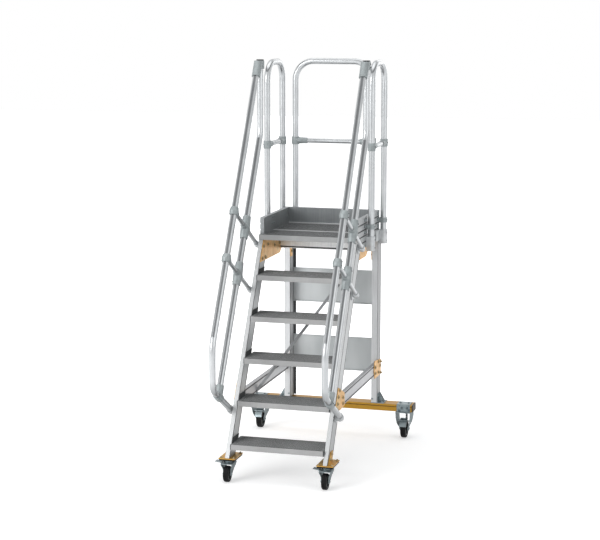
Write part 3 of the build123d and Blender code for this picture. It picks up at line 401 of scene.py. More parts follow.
BOARD_SLOTS = 4
board_low, board_high = (corner.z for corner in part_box("platform_back_board"))
board_slots = (board_low, (board_high - board_low) / (BOARD_SLOTS + 1), BOARD_SLOTS, SLOT_HALF)
profile_finish = {
    "stringer_left": drawn("stringer metal", ALONG_SLOPE, grooves=stringer_grooves),
    "rear_post_left": drawn("post metal", UPRIGHT, (0.72, 0.73, 0.74), grooves=post_grooves,
                            inside=post_shadow_gap, tones=SHADOW_GAP_TONES, side_shade=1.0),
    "side_rails": drawn("side rail metal", ALONG_Y, (0.50, 0.505, 0.52), grooves=rail_grooves),
    "platform_side_left": drawn("side board metal", ALONG_Y, (0.44, 0.455, 0.46), inside=board_inside,
                                slots=board_slots),
    "platform_back_board": drawn("back board metal", ALONG_X, (0.44, 0.455, 0.46), inside=back_inside,
                                 slots=board_slots),
    # Painted light: the cross beam is much lighter than the other profiles because it sits in shade under
    # the deck.
    "platform_cross_beam": drawn("cross beam metal with painted light", ALONG_X, (0.92, 0.925, 0.93), grooves=beam_grooves,
                                 metal=0.9),
    "cross_brace": drawn("brace metal", ALONG_SLOPE, (0.38, 0.39, 0.40)),
}
profile_finish["stringer_right"] = profile_finish["stringer_left"]
profile_finish["rear_post_right"] = profile_finish["rear_post_left"]
profile_finish["platform_side_right"] = profile_finish["platform_side_left"]
print(len(profile_finish), "profiles share", len(set(profile_finish.values())), "drawn finishes")

# %% [markdown]
# ## Treads and deck
# Each tread is a ribbed plank: its nose is clean bright metal, its top is dark with painted shade
# between the ribs and a painted dark reflection, and its end flanges are dark too. One material can
# do this by asking where the surface faces: up means top. The alternative, three materials on one
# mesh, would mean cutting the mesh. Close to each end of the top the ribs stop at a pressed line,
# darkened with painted shade, and the last stretch is lighter. The upper treads mirror less of the
# white floor, so a painted reflection darkens the top with height.


# %% Finish of the ribbed planks
def ribbed(name, nose, top, end_line, flange=0.2905):
    """Bright metal in front; painted shade and a painted dark reflection where the surface faces up, and
    dark metal outside the flange.
    """
    made = Finish(name, nose, 0.45, 0.45, Specular_IOR_Level=0.06)
    where = made.place()
    across = abs(made.axis(where, "X"))
    lines = made.noise(made.place(ALONG_X, (1.0, 1.0, 0.012)), 380.0, 2.0)
    streaks = made.noise(made.place(ALONG_X, (1.0, 1.0, 0.05)), 90.0, 3.0)
    dirt = made.noise(where, 26.0, 5.0, 0.65)
    worn = made.noise(made.place(UPRIGHT, (1.0, 0.6, 1.0)), 4.2, 3.0).ramp(0.40, 0.72)
    # Faces that look up take the dark top tones: painted shade between the ribs and a painted dark
    # reflection.
    up = made.facing("Z").ramp(0.35, 0.75)
    ends = across.ramp(flange, flange + 0.0008)
    edge = made.edge(0.0010)
    grain = worn * 0.4 + dirt * 0.1 + streaks * 0.5
    dark = made.mix(grain, times(top, 0.8), times(top, 1.25))
    # Painted reflection: the top darkens with height.
    dark = made.mix(made.axis(where, "Z").ramp(0.3, 1.1) * 0.5, dark, times(top, 0.3))
    dark = made.mix(across.ramp(end_line, end_line + 0.0015) * 0.45, dark, times(top, 2.2))
    # Painted shade in the pressed line near each end.
    crease = 1 - abs(across - end_line).ramp(0.0006, 0.0016)
    dark = made.mix(crease * 0.8, dark, GROOVE_SHADE)
    light = made.mix(lines * 0.6 + worn * 0.4, times(nose, 0.72), nose)
    cover = 1 - (1 - up) * (1 - ends)
    base = made.mix(cover, light, made.mix(ends, dark, times(top, 0.75)))
    # Lighter edges, partly wear and partly a painted highlight.
    made.feed("Base Color", made.mix(edge * 0.5, base, (0.62, 0.63, 0.63)))
    made.feed("Roughness", 0.42 + dirt * 0.2 + cover * 0.14)
    made.feed("Metallic", 0.55 - cover * 0.55)
    made.bump(lines * 0.7 + dirt * 0.3, 0.00018, 0.3)
    return made.material


tread_metal = ribbed("tread metal", (0.46, 0.46, 0.46), (0.115, 0.12, 0.12), 0.272)
deck_metal = ribbed("deck metal", (0.42, 0.425, 0.425), (0.095, 0.101, 0.104), 0.284, 0.4)

# %% [markdown]
# ## Tubes and castings
# Rails and hoops are drawn tube, a little brighter and smoother than the profiles, with painted shade
# on their undersides and a painted reflection that darkens flat tops. The clamps and sockets are cast,
# so they are darker, grainy and matt. A fine noise as relief gives the skin of a casting, and a wider
# one moves the tone so that no two clamps look stamped out. Hands polish the raised rims of a casting,
# which the edge mask shows as lighter lines, partly that wear and partly a painted highlight. A sloping
# rail mirrors one dark line along its upper side, a painted reflection: a narrow band of how far the
# surface faces up gives it.


# %% Finish of tubes and castings
def tube_metal():
    """Satin drawn tube with painted shade below, a painted reflection darkening flat tops, and a painted
    dark reflection line along sloping stretches.
    """
    made = Finish("tube metal", (0.66, 0.67, 0.675), 0.7, 0.30)
    where = made.place()
    clouds = made.noise(where, 7.0, 3.0)
    fine = made.noise(where, 1400.0, 2.0)
    rubs = made.noise(where, 30.0, 5.0, 0.6).ramp(0.62, 0.80)
    rise = made.facing("Z")
    # Painted shade on the undersides.
    underside_shade = (rise * -1.0).ramp(0.1, 0.9)
    tone = made.mix(clouds.ramp(0.3, 0.75), (0.46, 0.475, 0.485), (0.55, 0.565, 0.575))
    # Painted shade below and a painted reflection on flat tops, with a little darkening from rubs.
    tone = made.mix(underside_shade * 0.45 + rubs * 0.12 + rise.ramp(0.6, 0.95) * 0.45, tone, (0.26, 0.27, 0.28))
    # Painted dark reflection along sloping stretches.
    line = rise.ramp(0.41, 0.5) * (1 - rise.ramp(0.52, 0.75))
    made.feed("Base Color", made.mix(line * 0.85, tone, (0.085, 0.09, 0.095)))
    made.feed("Roughness", 0.25 + clouds * 0.08 + rubs * 0.1)
    made.bump(fine, 0.00003, 0.3)
    return made.material


def cast_metal(name="cast metal", colour=(0.355, 0.39, 0.395)):
    """Matt grainy skin in wandering tones, with rims lighter from rubbing and from a painted highlight."""
    made = Finish(name, colour, 0.35, 0.5)
    where = made.place()
    grain = made.noise(where, 900.0, 2.0)
    clouds = made.noise(where, 22.0, 4.0)
    edge = made.edge(0.0015)
    base = made.mix(clouds.ramp(0.3, 0.7), times(colour, 0.76), colour)
    # Lighter rims, partly rubbed and partly a painted highlight.
    made.feed("Base Color", made.mix(edge * 0.6, base, (0.56, 0.58, 0.58)))
    made.feed("Roughness", 0.42 + grain * 0.2 - edge * 0.1)
    made.bump(grain * 0.5 + clouds * 0.5, 0.0003, 0.5)
    return made.material


rail_metal = tube_metal()
casting = cast_metal()
socket_cast = cast_metal("socket casting", (0.68, 0.70, 0.71))

# %% [markdown]
# ## Plated and anodised pieces
# The wide beam is anodised gold: still metal, so it keeps a sheen and faint drawn lines. The joint
# plates are zinc with a yellow passivation, which is patchy and drifts towards green and pink. The
# castors are bright zinc with a bluish cast. Slow noise between two or three tones gives all of
# these; a photograph of rust or zinc would repeat itself on every plate.


# %% Finish of gold, yellow zinc and bright zinc
BEAM_GROOVE = 217.0 * MM


def gold_anodised():
    """Gold metal with lines along X, painted shade on the top and one dark groove at a given height."""
    made = Finish("gold anodised", (0.50, 0.28, 0.03), 0.55, 0.38)
    lines = made.noise(made.place(ALONG_X, (1.0, 1.0, 0.01)), 380.0, 2.0)
    clouds = made.noise(made.place(), 5.0, 3.0)
    dust = made.noise(made.place(), 60.0, 6.0, 0.7).ramp(0.6, 0.8)
    top = made.facing("Z").ramp(0.4, 0.8)
    edge = made.edge()
    warm = made.mix(lines * 0.12 + clouds * 0.88, (0.46, 0.235, 0.020), (0.54, 0.295, 0.032))
    warm = made.mix(dust * 0.2, warm, (0.50, 0.36, 0.12))
    # Painted shade on the top.
    warm = made.mix(top * 0.75, warm, (0.40, 0.20, 0.010))
    height = abs(made.axis(made.place(), "Z") - BEAM_GROOVE)
    warm = made.mix((1 - height.ramp(0.0022, 0.0034)) * 0.75, warm, (0.10, 0.05, 0.008))
    # Lighter edges, partly wear and partly a painted highlight.
    made.feed("Base Color", made.mix(edge * 0.45, warm, (0.86, 0.66, 0.26)))
    made.feed("Roughness", 0.30 + clouds * 0.14 + dust * 0.2)
    made.bump(lines, 0.00015, 0.3)
    return made.material


def yellow_zinc(name, tones, green):
    """Passivated zinc: two warm tones in patches, a greenish drift, and a lighter third tone on the edges,
    partly wear and partly a painted highlight.
    """
    made = Finish(name, tones[0], 0.5, 0.4)
    where = made.place()
    patches = made.noise(where, 24.0, 4.0, 0.6)
    drift = made.noise(where, 9.0, 2.0)
    edge = made.edge()
    warm = made.mix(patches.ramp(0.35, 0.65), tones[0], tones[1])
    warm = made.mix(drift.ramp(0.5, 0.75) * green, warm, (0.50, 0.50, 0.28))
    # Lighter edges, partly wear and partly a painted highlight.
    made.feed("Base Color", made.mix(edge * 0.5, warm, tones[2]))
    made.feed("Roughness", 0.32 + patches * 0.2)
    made.bump(made.noise(where, 300.0, 2.0), 0.0001, 0.3)
    return made.material


def bright_zinc(name="bright zinc", low=(0.12, 0.155, 0.165), high=(0.40, 0.46, 0.48)):
    """Plated steel between two tones, in spangles and clouds, with painted shade on faces that look along
    X.
    """
    made = Finish(name, high, 0.75, 0.34)
    where = made.place()
    spangle = made.node("ShaderNodeTexVoronoi", {"feature": "F1"}, {"Vector": where, "Scale": 260.0},
                        out="Color")
    patches = made.axis(spangle, "X")
    clouds = made.noise(where, 34.0, 4.0)
    edge = made.edge()
    base = made.mix(patches * 0.35 + clouds * 0.6, low, high)
    # Painted shade on faces that look along X.
    side = abs(made.facing("X")).ramp(0.6, 0.9)
    base = made.mix(side * 0.45, base, times(low, 0.5))
    # Lighter edges, partly wear and partly a painted highlight.
    made.feed("Base Color", made.mix(edge * 0.6, base, (0.72, 0.76, 0.78)))
    made.feed("Roughness", 0.24 + patches * 0.10 + clouds * 0.10 + side * 0.2)
    made.bump(clouds, 0.0002, 0.3)
    return made.material


def sheet_metal():
    """Sheet rolled along X: fine lines over slow clouds."""
    made = Finish("panel sheet", (0.50, 0.525, 0.53), 0.55, 0.42)
    lines = made.noise(made.place(ALONG_X, (1.0, 1.0, 0.008)), 520.0, 3.0)
    clouds = made.noise(made.place(UPRIGHT, (1.0, 1.0, 0.3)), 3.5, 3.0)
    edge = made.edge()
    base = made.mix(lines * 0.3 + clouds.ramp(0.3, 0.7) * 0.7, (0.42, 0.445, 0.45), (0.60, 0.62, 0.625))
    # Lighter edges, partly wear and partly a painted highlight.
    made.feed("Base Color", made.mix(edge * 0.5, base, (0.78, 0.79, 0.79)))
    made.feed("Roughness", 0.36 + lines * 0.16)
    made.bump(lines, 0.0001, 0.3)
    return made.material


gold = gold_anodised()
yellow = yellow_zinc("yellow zinc", ((0.74, 0.43, 0.145), (0.60, 0.33, 0.10), (0.88, 0.64, 0.31)), 0.25)
mount_tones = (0.62, 0.36, 0.055), (0.48, 0.24, 0.05), (0.80, 0.60, 0.22)
mount_yellow = yellow_zinc("mount zinc", mount_tones, 0.15)
zinc = bright_zinc()
screw_zinc = bright_zinc("screw zinc", (0.26, 0.18, 0.07), (0.50, 0.38, 0.17))
dark_zinc = bright_zinc("dark zinc", (0.05, 0.07, 0.08), (0.16, 0.20, 0.22))
sheet = sheet_metal()

# %% [markdown]
# ## Rubber and plastic
# Tyres are black rubber with grey dust worn into the tread. Caps and pads are moulded, so they get a
# fine grain. Pure black never occurs on a real object, so the darkest tone here stays at a few percent.


# %% Finish of rubber and plastic
def rubber(name="tyre rubber", dusty=(0.06, 0.06, 0.058)):
    """Near-black rubber with patches of dust."""
    made = Finish(name, (0.010, 0.010, 0.011), 0.0, 0.7, Specular_IOR_Level=0.12)
    where = made.place()
    dust = made.noise(where, 46.0, 5.0, 0.7).ramp(0.45, 0.8)
    made.feed("Base Color", made.mix(dust * 0.4, (0.010, 0.010, 0.011), dusty))
    made.feed("Roughness", 0.55 + dust * 0.25)
    made.bump(made.noise(where, 700.0, 3.0), 0.0002, 0.5)
    return made.material


def moulded(name, colour, gloss=0.5):
    """Moulded plastic or painted steel with a fine grain and slightly lighter edges, partly wear and
    partly a painted highlight.
    """
    made = Finish(name, colour, 0.0, gloss, Specular_IOR_Level=0.12)
    where = made.place()
    grain = made.noise(where, 1200.0, 2.0)
    clouds = made.noise(where, 30.0, 3.0)
    edge = made.edge()
    base = made.mix(clouds, times(colour, 0.8), times(colour, 1.15))
    # Lighter edges, partly wear and partly a painted highlight.
    made.feed("Base Color", made.mix(edge * 0.3, base, tuple(0.12 + c * 0.8 for c in colour)))
    made.feed("Roughness", gloss - 0.08 + grain * 0.16)
    made.bump(grain, 0.00012, 0.4)
    return made.material


tyre_rubber = rubber()
pad_rubber = rubber("pad rubber", (0.03, 0.03, 0.03))
cap_plastic = moulded("cap plastic", (0.060, 0.045, 0.036), 0.45)
top_plastic = moulded("top cap plastic", (0.045, 0.046, 0.048), 0.5)
hub_plastic = moulded("hub plastic", (0.062, 0.066, 0.068), 0.5)
black_steel = moulded("blackened steel", (0.03, 0.031, 0.033), 0.4)

# %% [markdown]
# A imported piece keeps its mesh; only its material slot changes. A table from slot name to finish
# covers most pieces, and the profiles, whose lines depend on their direction, come from their own
# table.

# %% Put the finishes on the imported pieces
by_slot = {
    "ribbed_aluminium": tread_metal,
    "sheet_aluminium": sheet,
    "gold_anodised": gold,
    "dark_plastic": cap_plastic,
    "yellow_zinc": yellow,
    "galvanised_steel": zinc,
    "rubber_pad": pad_rubber,
    "tube_aluminium": rail_metal,
    "cast_aluminium": casting,
    "black_tyre": tyre_rubber,
    "grey_hub": hub_plastic,
}
slot_of = {row["node"]: row["material_slot"] for row in frame["record"]["subparts"]}
by_name = {
    **profile_finish,
    "platform_deck": deck_metal,
    "castor_mounts": mount_yellow,
    "leg_sockets": socket_cast,
    "rail_feet": socket_cast,
    "top_caps": top_plastic,
}
for name, piece in nodes.items():
    finish = by_name.get(name) or by_slot[slot_of[name]]
    piece.data.materials.clear()
    piece.data.materials.append(finish)
print("finishes on", len(nodes), "packed pieces")

# %% [markdown]
# ## Turned surfaces
# A screw head, washer or bearing cap is a profile turned about an axis. On a grid with one direction
# along the profile and the other round the axis, the whole surface is two lines of arithmetic. With
# six steps round the axis the same surface is a hexagon, which is a nut.


# %% Surfaces of revolution from a profile
def turned(profile, sides, loop=False):
    """Points (r cos a, r sin a, h) for every profile point (r, h) and every angle a round the axis.

    A looped profile joins its last point to its first, which makes a ring.
    """
    r, h = np.array(profile, float).T
    a = np.arange(sides) * 2 * np.pi / sides
    round_axis = np.outer(r, np.cos(a)), np.outer(r, np.sin(a))
    points = np.stack([*round_axis, np.outer(h, np.ones(sides))], axis=-1)
    i, j = np.meshgrid(np.arange(len(r) - (not loop)), np.arange(sides), indexing="ij")
    k, n = (j + 1) % sides, (i + 1) % len(r)
    quads = np.stack([i * sides + j, i * sides + k, n * sides + k, n * sides + j], axis=-1)
    return points.reshape(-1, 3), quads.reshape(-1, 4)


def frames_along(axes):
    """For each axis, a 3 by 3 turn whose third column is that axis."""
    z = np.array(axes, float)
    z = z / np.linalg.norm(z, axis=1, keepdims=True)
    guide = np.where(np.abs(z[:, 2:3]) > 0.9, [[1.0, 0.0, 0.0]], [[0.0, 0.0, 1.0]])
    x = np.cross(guide, z)
    x = x / np.linalg.norm(x, axis=1, keepdims=True)
    return np.stack([x, np.cross(z, x), z], axis=-1)


def repeat(shape, places, axes):
    """The shape copied to every place, its Z along the axis there, as one set of points and faces."""
    points, faces = shape
    turns = frames_along(axes)
    moved = np.einsum("nij,pj->npi", turns, points * MM) + np.array(places)[:, None, :]
    steps = np.arange(len(places))[:, None, None] * len(points)
    return moved.reshape(-1, 3), (faces[None] + steps).reshape(-1, faces.shape[1])


def piece_from(name, shapes, finish, body="frame", sharp=35):
    """One mesh from several sets of points and faces, on a body and with a finish.

    Points closer than a twentieth of a millimetre become one, which closes the poles of turned shapes.
    """
    points = np.concatenate([p for p, f in shapes])
    starts = np.cumsum([0] + [len(p) for p, f in shapes[:-1]])
    faces = [row for (p, f), s in zip(shapes, starts) for row in (np.asarray(f) + s).tolist()]
    mesh = bpy.data.meshes.new(name)
    mesh.from_pydata(points.tolist(), [], faces)
    shell = bmesh.new()
    shell.from_mesh(mesh)
    bmesh.ops.remove_doubles(shell, verts=shell.verts, dist=0.05 * MM)
    shell.to_mesh(mesh)
    shell.free()
    mesh.validate()
    mesh.polygons.foreach_set("use_smooth", np.full(len(mesh.polygons), True))
    mesh.materials.append(finish)
    piece = bpy.data.objects.new(name, mesh)
    bpy.context.collection.objects.link(piece)
    mesh.set_sharp_from_angle(angle=math.radians(sharp))
    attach(piece, body)
    print(name, "has", len(mesh.polygons), "faces on", body)
    return piece


# %% [markdown]
# ## Screws
# Every joint of the stairs is bolted. A hexagon head is a short prism with its corners turned off,
# on a round washer, and where the thread end is the one that shows, it is a nut with the end of the
# screw in it. One head has a few dozen faces, so hundreds of them cost little, and all heads of one
# kind on one body are joined in one mesh. The rows below say where each one sits, side by side with
# the direction it points, and one line mirrors them to the other side.


# %% Heads, nuts and washers as profiles
# The radius of a pole before it closes, and the height at which a head sits in its ring.
POLE, SEAT = 0.02, 1.5


def hexagon(width, height):
    """Head from washer up: a six-sided prism whose top edge is turned down a little, on a round ring."""
    r, top = width / math.sqrt(3), SEAT + height
    head = turned([(POLE, SEAT), (r, SEAT), (r, SEAT + height * 0.8), (r * 0.86, top), (POLE, top)], 6)
    rim = width * 0.95
    ring = turned([(POLE, 0), (rim, 0), (rim, 1.2), (width * 0.9, 1.6), (POLE, 1.6)], 20)
    return [head, ring]


def nut(width, height):
    """Hexagon with a screw end standing out of it."""
    r, top = width * 0.27, height + 5
    end = turned([(POLE, 0), (r, 0), (r, height + 4), (width * 0.2, top), (POLE, top)], 12)
    return hexagon(width, height) + [end]


def dome(width, height):
    """Round head: its height falls off as the square root of what is left of the radius squared."""
    t = np.linspace(0, 0.98, 6)
    cap = [(width / 2 * a, 1.2 + height * math.sqrt(1 - a * a)) for a in t[::-1]]
    return [turned([(POLE, 0), (width / 2, 0), *cap[:-1], (POLE, 1.2 + height)], 16)]


def washer(width):
    """Flat round plate whose upper rim is broken."""
    r = width / 2
    return [turned([(POLE, 0), (r, 0), (r, 1.0), (r - 0.4, 1.4), (POLE, 1.4)], 20)]


def set_screw(width, height):
    """Small cylinder with a socket sunk in its end."""
    r = width / 2
    return [turned([(POLE, 0), (r, 0), (r, height * 0.8), (r * 0.85, height), (r * 0.5, height),
                    (r * 0.45, height * 0.4), (POLE, height * 0.4)], 12)]


def screws(name, shapes, spots, finish, body="frame"):
    """One piece with a screw at every spot: rows of (x, y, z, axis), in workshop millimetres."""
    places = [at(*row[:3]) for row in spots]
    axes = [row[3] for row in spots]
    return piece_from(name, [repeat(shape, places, axes) for shape in shapes], finish, body, 30)


def both_sides(spots):
    """Rows for the right side, and their mirror images on the left."""
    rows = []
    for x, y, z, axis in spots:
        rows += [(x, y, z, axis), (-x, y, z, (-axis[0], axis[1], axis[2]))]
    return rows


out, into, back, up, front, down = (1, 0, 0), (-1, 0, 0), (0, 1, 0), (0, 0, 1), (0, -1, 0), (0, 0, -1)


def face_of(node, corner, letter):
    """A face of a node's box, in workshop millimetres: corner 0 is the low one, 1 the high one."""
    value = getattr(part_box(node)[corner], letter) / MM
    return value - nose_y / MM if letter == "y" else value


def centre_of(node):
    """(x, y) of the middle of a node's box, in workshop millimetres."""
    return middle_of(node, "x") / MM, middle_of(node, "y") / MM - nose_y / MM


# %% Screws of the plates
PLATE_THICK = 6.0
POST_THICK = 38.0
plate_x = face_of("joint_plates", 1, "x")
gusset_x = inner_x - PLATE_THICK
post_inner = outer_x - POST_THICK
post_back = face_of("rear_post_right", 1, "y")
joint_screws = [(plate_x, y, z, out) for y, z in
                ((212, 478), (236, 516), (262, 552), (340, 452), (340, 490),
                 (1212, 452), (1212, 492), (1300, 442), (1300, 514), (1346, 478))]
joint_nuts = [(plate_x, 1362, z, out) for z in (427, 503)]
front_gusset_screws = [(gusset_x, y, z, into) for y, z in
                       ((668, 1283), (735, 1283), (700, 1357), (790, 1357), (940, 1332), (1050, 1332))]
rear_gusset_screws = [(post_inner - PLATE_THICK, y, z, into) for y, z in
                      ((1205, 1375), (1265, 1375), (1298, 1300), (1302, 1240))]
screws("plate_screws", hexagon(14, 6), both_sides(joint_screws), screw_zinc)
screws("plate_nuts", nut(13, 7), both_sides(joint_nuts), screw_zinc)
screws("gusset_screws", hexagon(13, 5), both_sides(front_gusset_screws + rear_gusset_screws), screw_zinc)

# %% Screws of the castors' mounts and brackets
MOUNT_TOP = 149.7
BEAM_PLATE_TOP = 237.0
REAR_CASTOR_X = 505.6
mount_x = (inner_x + outer_x) / 2
tab_x = outer_x + PLATE_THICK
mount_screws = [(mount_x + dx, y, MOUNT_TOP, up) for dx in (-41, 41) for y in (-16, 118)]
mount_screws += [(tab_x, off_stringer(z)[0] + dy, z, out) for z, dy in ((174, -14), (200, 2))]
screws("mount_screws", nut(11, 5), both_sides(mount_screws), screw_zinc)
bracket_front = face_of("rear_brackets", 0, "y")
bracket_screws = [(REAR_CASTOR_X + dx, bracket_front, z, front)
                  for dx, z in ((-26, 192), (-10, 212), (28, 213), (40, 199))]
bracket_screws += [(REAR_CASTOR_X + dx, 1320, BEAM_PLATE_TOP, up) for dx in (-28, 28)]
screws("bracket_screws", hexagon(10, 4), both_sides(bracket_screws), dark_zinc)
foot_screws = [(outer_x + 30, y, BEAM_PLATE_TOP, up) for y in (1297, 1334)]
foot_screws += [(outer_x + 5, y, 279, out) for y in (1297, 1330)]
foot_screws += [(post_inner + 8, bracket_front + 5, 262, front)]
screws("post_foot_screws", nut(11, 5), both_sides(foot_screws), zinc)

# %% [markdown]
# The clamps hold their tubes with small socket screws, blackened, which are the dark dots on the
# castings. Their rows are worked out along the slope in the same way as the clamps themselves: a
# clamp sits a fixed distance in front of the stringer, at the height of each strut's foot.

# %% Screws of the clamps, feet and sockets
RAIL_X = outer_x + 26
STRUT_FEET = (1359.0, 1090.0)
RAIL_FOOT = 401.0
KNEE_OUT, HAND_OUT = 285.0, 544.0
CUP_END = RAIL_X - 20.5
TOP_CLAMP_Y = 820.0
LEG_Y = (973.0, 1323.0)
BACK_LEG = (263.0, 1345.0)
# How far the face of each kind of casting stands from the middle of its tube.
KNEE_FACE, HAND_FACE, TOP_FACE, SOCKET_FACE, RING_FACE, BACK_FACE = 26.0, 27.0, 26.5, 25.5, 24.5, 25.0
clamp_screws = []
for z in STRUT_FEET:
    for along in (-52, 52):
        clamp_screws.append((RAIL_X + KNEE_FACE, *off_stringer(z, KNEE_OUT, along), out))
    for along in (-13, 13):
        clamp_screws.append((RAIL_X + HAND_FACE, *off_stringer(z, HAND_OUT, along), out))
disc_screws = [(CUP_END, *off_stringer(z, -21), out) for z in (*STRUT_FEET, RAIL_FOOT)]
for across in (-16, 16):
    clamp_screws.append((RAIL_X + KNEE_FACE, *off_stringer(RAIL_FOOT, KNEE_OUT + across), out))
clamp_screws += [(RAIL_X + TOP_FACE, TOP_CLAMP_Y, z, out) for z in (2494, 2515)]
clamp_screws += [(RAIL_X, TOP_CLAMP_Y - TOP_FACE, 2500, front)]
clamp_screws += [(RAIL_X + SOCKET_FACE, y, z, out) for y in LEG_Y for z in (1334, 1386)]
clamp_screws += [(RAIL_X + RING_FACE, y, z, out) for y in LEG_Y for z in (1471, 1983)]
clamp_screws += [(BACK_LEG[0], BACK_LEG[1] + BACK_FACE, z, back) for z in (1356, 1390, 1471, 1983)]
screws("clamp_screws", set_screw(9, 2.5), both_sides(clamp_screws), black_steel)
screws("disc_screws", hexagon(10, 4), both_sides(disc_screws), zinc)

# %% [markdown]
# The side boards are bolted through their grooves: round bright heads on dark washers, in columns
# beside the legs of the hoops. The back board has the same heads beside its own hoop, and the sheet
# panels are riveted to the flanges of the posts.

# %% Screws of the boards and rivets of the panels
HEAD_HEIGHTS = (1439, 1479, 1519)
HEAD_COLUMNS = (905, 948, 1262)
BACK_BOARD_Y = 1319.0
board_heads = [(outer_x, y, z, out) for y in HEAD_COLUMNS for z in HEAD_HEIGHTS]
board_heads += [(x, BACK_BOARD_Y, z, back) for x in (205, 238) for z in HEAD_HEIGHTS]
screws("board_screws", dome(11, 4.5), both_sides(board_heads), zinc)
screws("board_washers", washer(19), both_sides(board_heads), black_steel)
inner_heads = [(inner_x, y, z, into) for y in HEAD_COLUMNS for z in HEAD_HEIGHTS[1:]]
screws("board_inner_screws", dome(10, 2.5), both_sides(inner_heads), zinc)
rivets = [(post_inner - 8, post_back, z, back)
          for z in (448, 500, 552, 604, 646, 906, 960, 1012, 1064, 1106)]
screws("panel_rivets", dome(8, 2), both_sides(rivets), zinc)

# %% [markdown]
# ## Strips on the deck
# The deck is two planks. Where they meet, a low bright strip covers the joint, and a second one lies
# along the foot of the back board, where it catches the light. A strip is the plainest swept
# surface there is: one rounded section, carried along a straight line and closed at both ends.


# %% A section carried along X
def strip(section, x0, x1):
    """Points (x, y, z) with (y, z) round a closed section, at both ends, and a face on each end."""
    y, z = np.array(section, float).T
    ring = np.stack([np.zeros_like(y), y * MM + nose_y, z * MM], axis=-1)
    n = len(section)
    points = np.concatenate([ring + [x0 * MM, 0, 0], ring + [x1 * MM, 0, 0]])
    j = np.arange(n)
    k = (j + 1) % n
    walls = np.stack([j, k, k + n, j + n], axis=-1)
    return [(points, walls), (points, [list(range(n))[::-1]]), (points, [list(range(n, 2 * n))])]


def rounded_section(y0, y1, z0, z1, r=0.8):
    """Rectangle with its upper corners cut, seen along X, listed so that its faces point outwards."""
    return [(y0, z0), (y0, z1 - r), (y0 + r, z1), (y1 - r, z1), (y1, z1 - r), (y1, z0)]


DECK_TOP = 1432.0
# Each strip's front, its back and its height.
STRIPS = ((926, 938, 2.2), (1283, 1292.9, 7))
strip_metal = drawn("strip metal", ALONG_X, (0.66, 0.67, 0.675))
strip_half = inner_x - 1
strips = []
for y0, y1, height in STRIPS:
    strips += strip(rounded_section(y0, y1, DECK_TOP, DECK_TOP + height), -strip_half, strip_half)
piece_from("deck_strips", strips, strip_metal, sharp=25)

# %% [markdown]
# ## Tyres
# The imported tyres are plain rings. The real ones are pressed rubber: two fine grooves run round the
# tread, the shoulders are round, and the side wall has a shallow step where the mould parts. The
# whole tyre is one looped profile turned about the axle.


# %% Grooved tyres
AXLE_Z = {"front": 50.0, "rear": 62.5}
TYRE_WIDTH = {"front": 32.0, "rear": 35.0}
GROOVE_DEPTH = 1.3


def tyre_profile(radius, width):
    """(distance from the axle, place across) once round the section, outer wall first."""
    half, rim, groove = width / 2, radius * 0.72, width * 0.035
    t = np.linspace(0, math.pi / 2, 5)
    curve = width / 5
    shoulder = np.stack([radius - curve + curve * np.sin(t), -half + curve - curve * np.cos(t)], axis=-1)
    middle = width * 0.12
    foot = radius - GROOVE_DEPTH
    cut = [(radius, -middle - groove), (foot, -middle - groove * 0.4),
           (foot, -middle + groove * 0.4), (radius, -middle + groove)]
    lower = [(rim, -half + 0.6), (rim + 0.6, -half), (radius * 0.79, -half), (radius * 0.8, -half + 0.8),
             (radius * 0.83, -half + 0.8), (radius * 0.84, -half)]
    side = lower + shoulder.tolist() + cut
    return side + [(r, -h) for r, h in reversed(side)]


for end, radius in AXLE_Z.items():
    shape = turned(tyre_profile(radius, TYRE_WIDTH[end]), 72, loop=True)
    for side in ("left", "right"):
        node = end + "_tyre_" + side
        tyre = piece_from(end + "_grooved_tyre_" + side,
                          [repeat(shape, [at(*centre_of(node), radius)], [out])],
                          tyre_rubber, "wheel_" + end + "_" + side, 30)
        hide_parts(node)

# %% [markdown]
# ## Castor details
# Each axle ends in a nut on the fork's cheek. Under the swivel head's plate a dark seal keeps dirt
# out of the balls, and the king bolt's nut shows under the crown. The rear castors are sprung, with a
# coil round the upright rod behind the guard: its surface is a small circle carried up a helix.


# %% Nuts, seals and springs
def coil(radius, wire, turns, height, steps=20, sides=7):
    """Helix (R cos a, R sin a, rise * a) with a circle of wire round it, drawn together at both ends."""
    a = np.linspace(0, turns * 2 * np.pi, int(turns * steps))
    b = np.arange(sides) * 2 * np.pi / sides
    thin = np.where((a == a[0]) | (a == a[-1]), 0.01, wire)
    r = radius + np.outer(thin, np.cos(b))
    points = np.stack([r * np.cos(a)[:, None], r * np.sin(a)[:, None],
                       np.outer(a / a[-1] * height, np.ones(sides)) + np.outer(thin, np.sin(b))], axis=-1)
    i, j = np.meshgrid(np.arange(len(a) - 1), np.arange(sides), indexing="ij")
    k = (j + 1) % sides
    quads = np.stack([i * sides + j, (i + 1) * sides + j, (i + 1) * sides + k, i * sides + k], axis=-1)
    return points.reshape(-1, 3), quads.reshape(-1, 4)


# Measured across the wheel, from its axle, from the stairs' middle or up from the floor.
FORK_CHEEK = {"front": 25.0, "rear": 28.8}
FRONT_TRAIL = 38.0
CROWN_UNDERSIDE = 112.8
SWIVEL_X, SWIVEL_Y, SEAL_FOOT = 310.0, 26.5, 120.5
SPRING_X, SPRING_Y, SPRING_FOOT = 16.0, 8.0, 135.5


def axle_ends(node, end):
    """Rows for the two ends of a wheel's axle, where its nuts sit on the fork."""
    x, y = centre_of(node)
    return [(x + FORK_CHEEK[end], y, AXLE_Z[end], out), (x - FORK_CHEEK[end], y, AXLE_Z[end], into)]


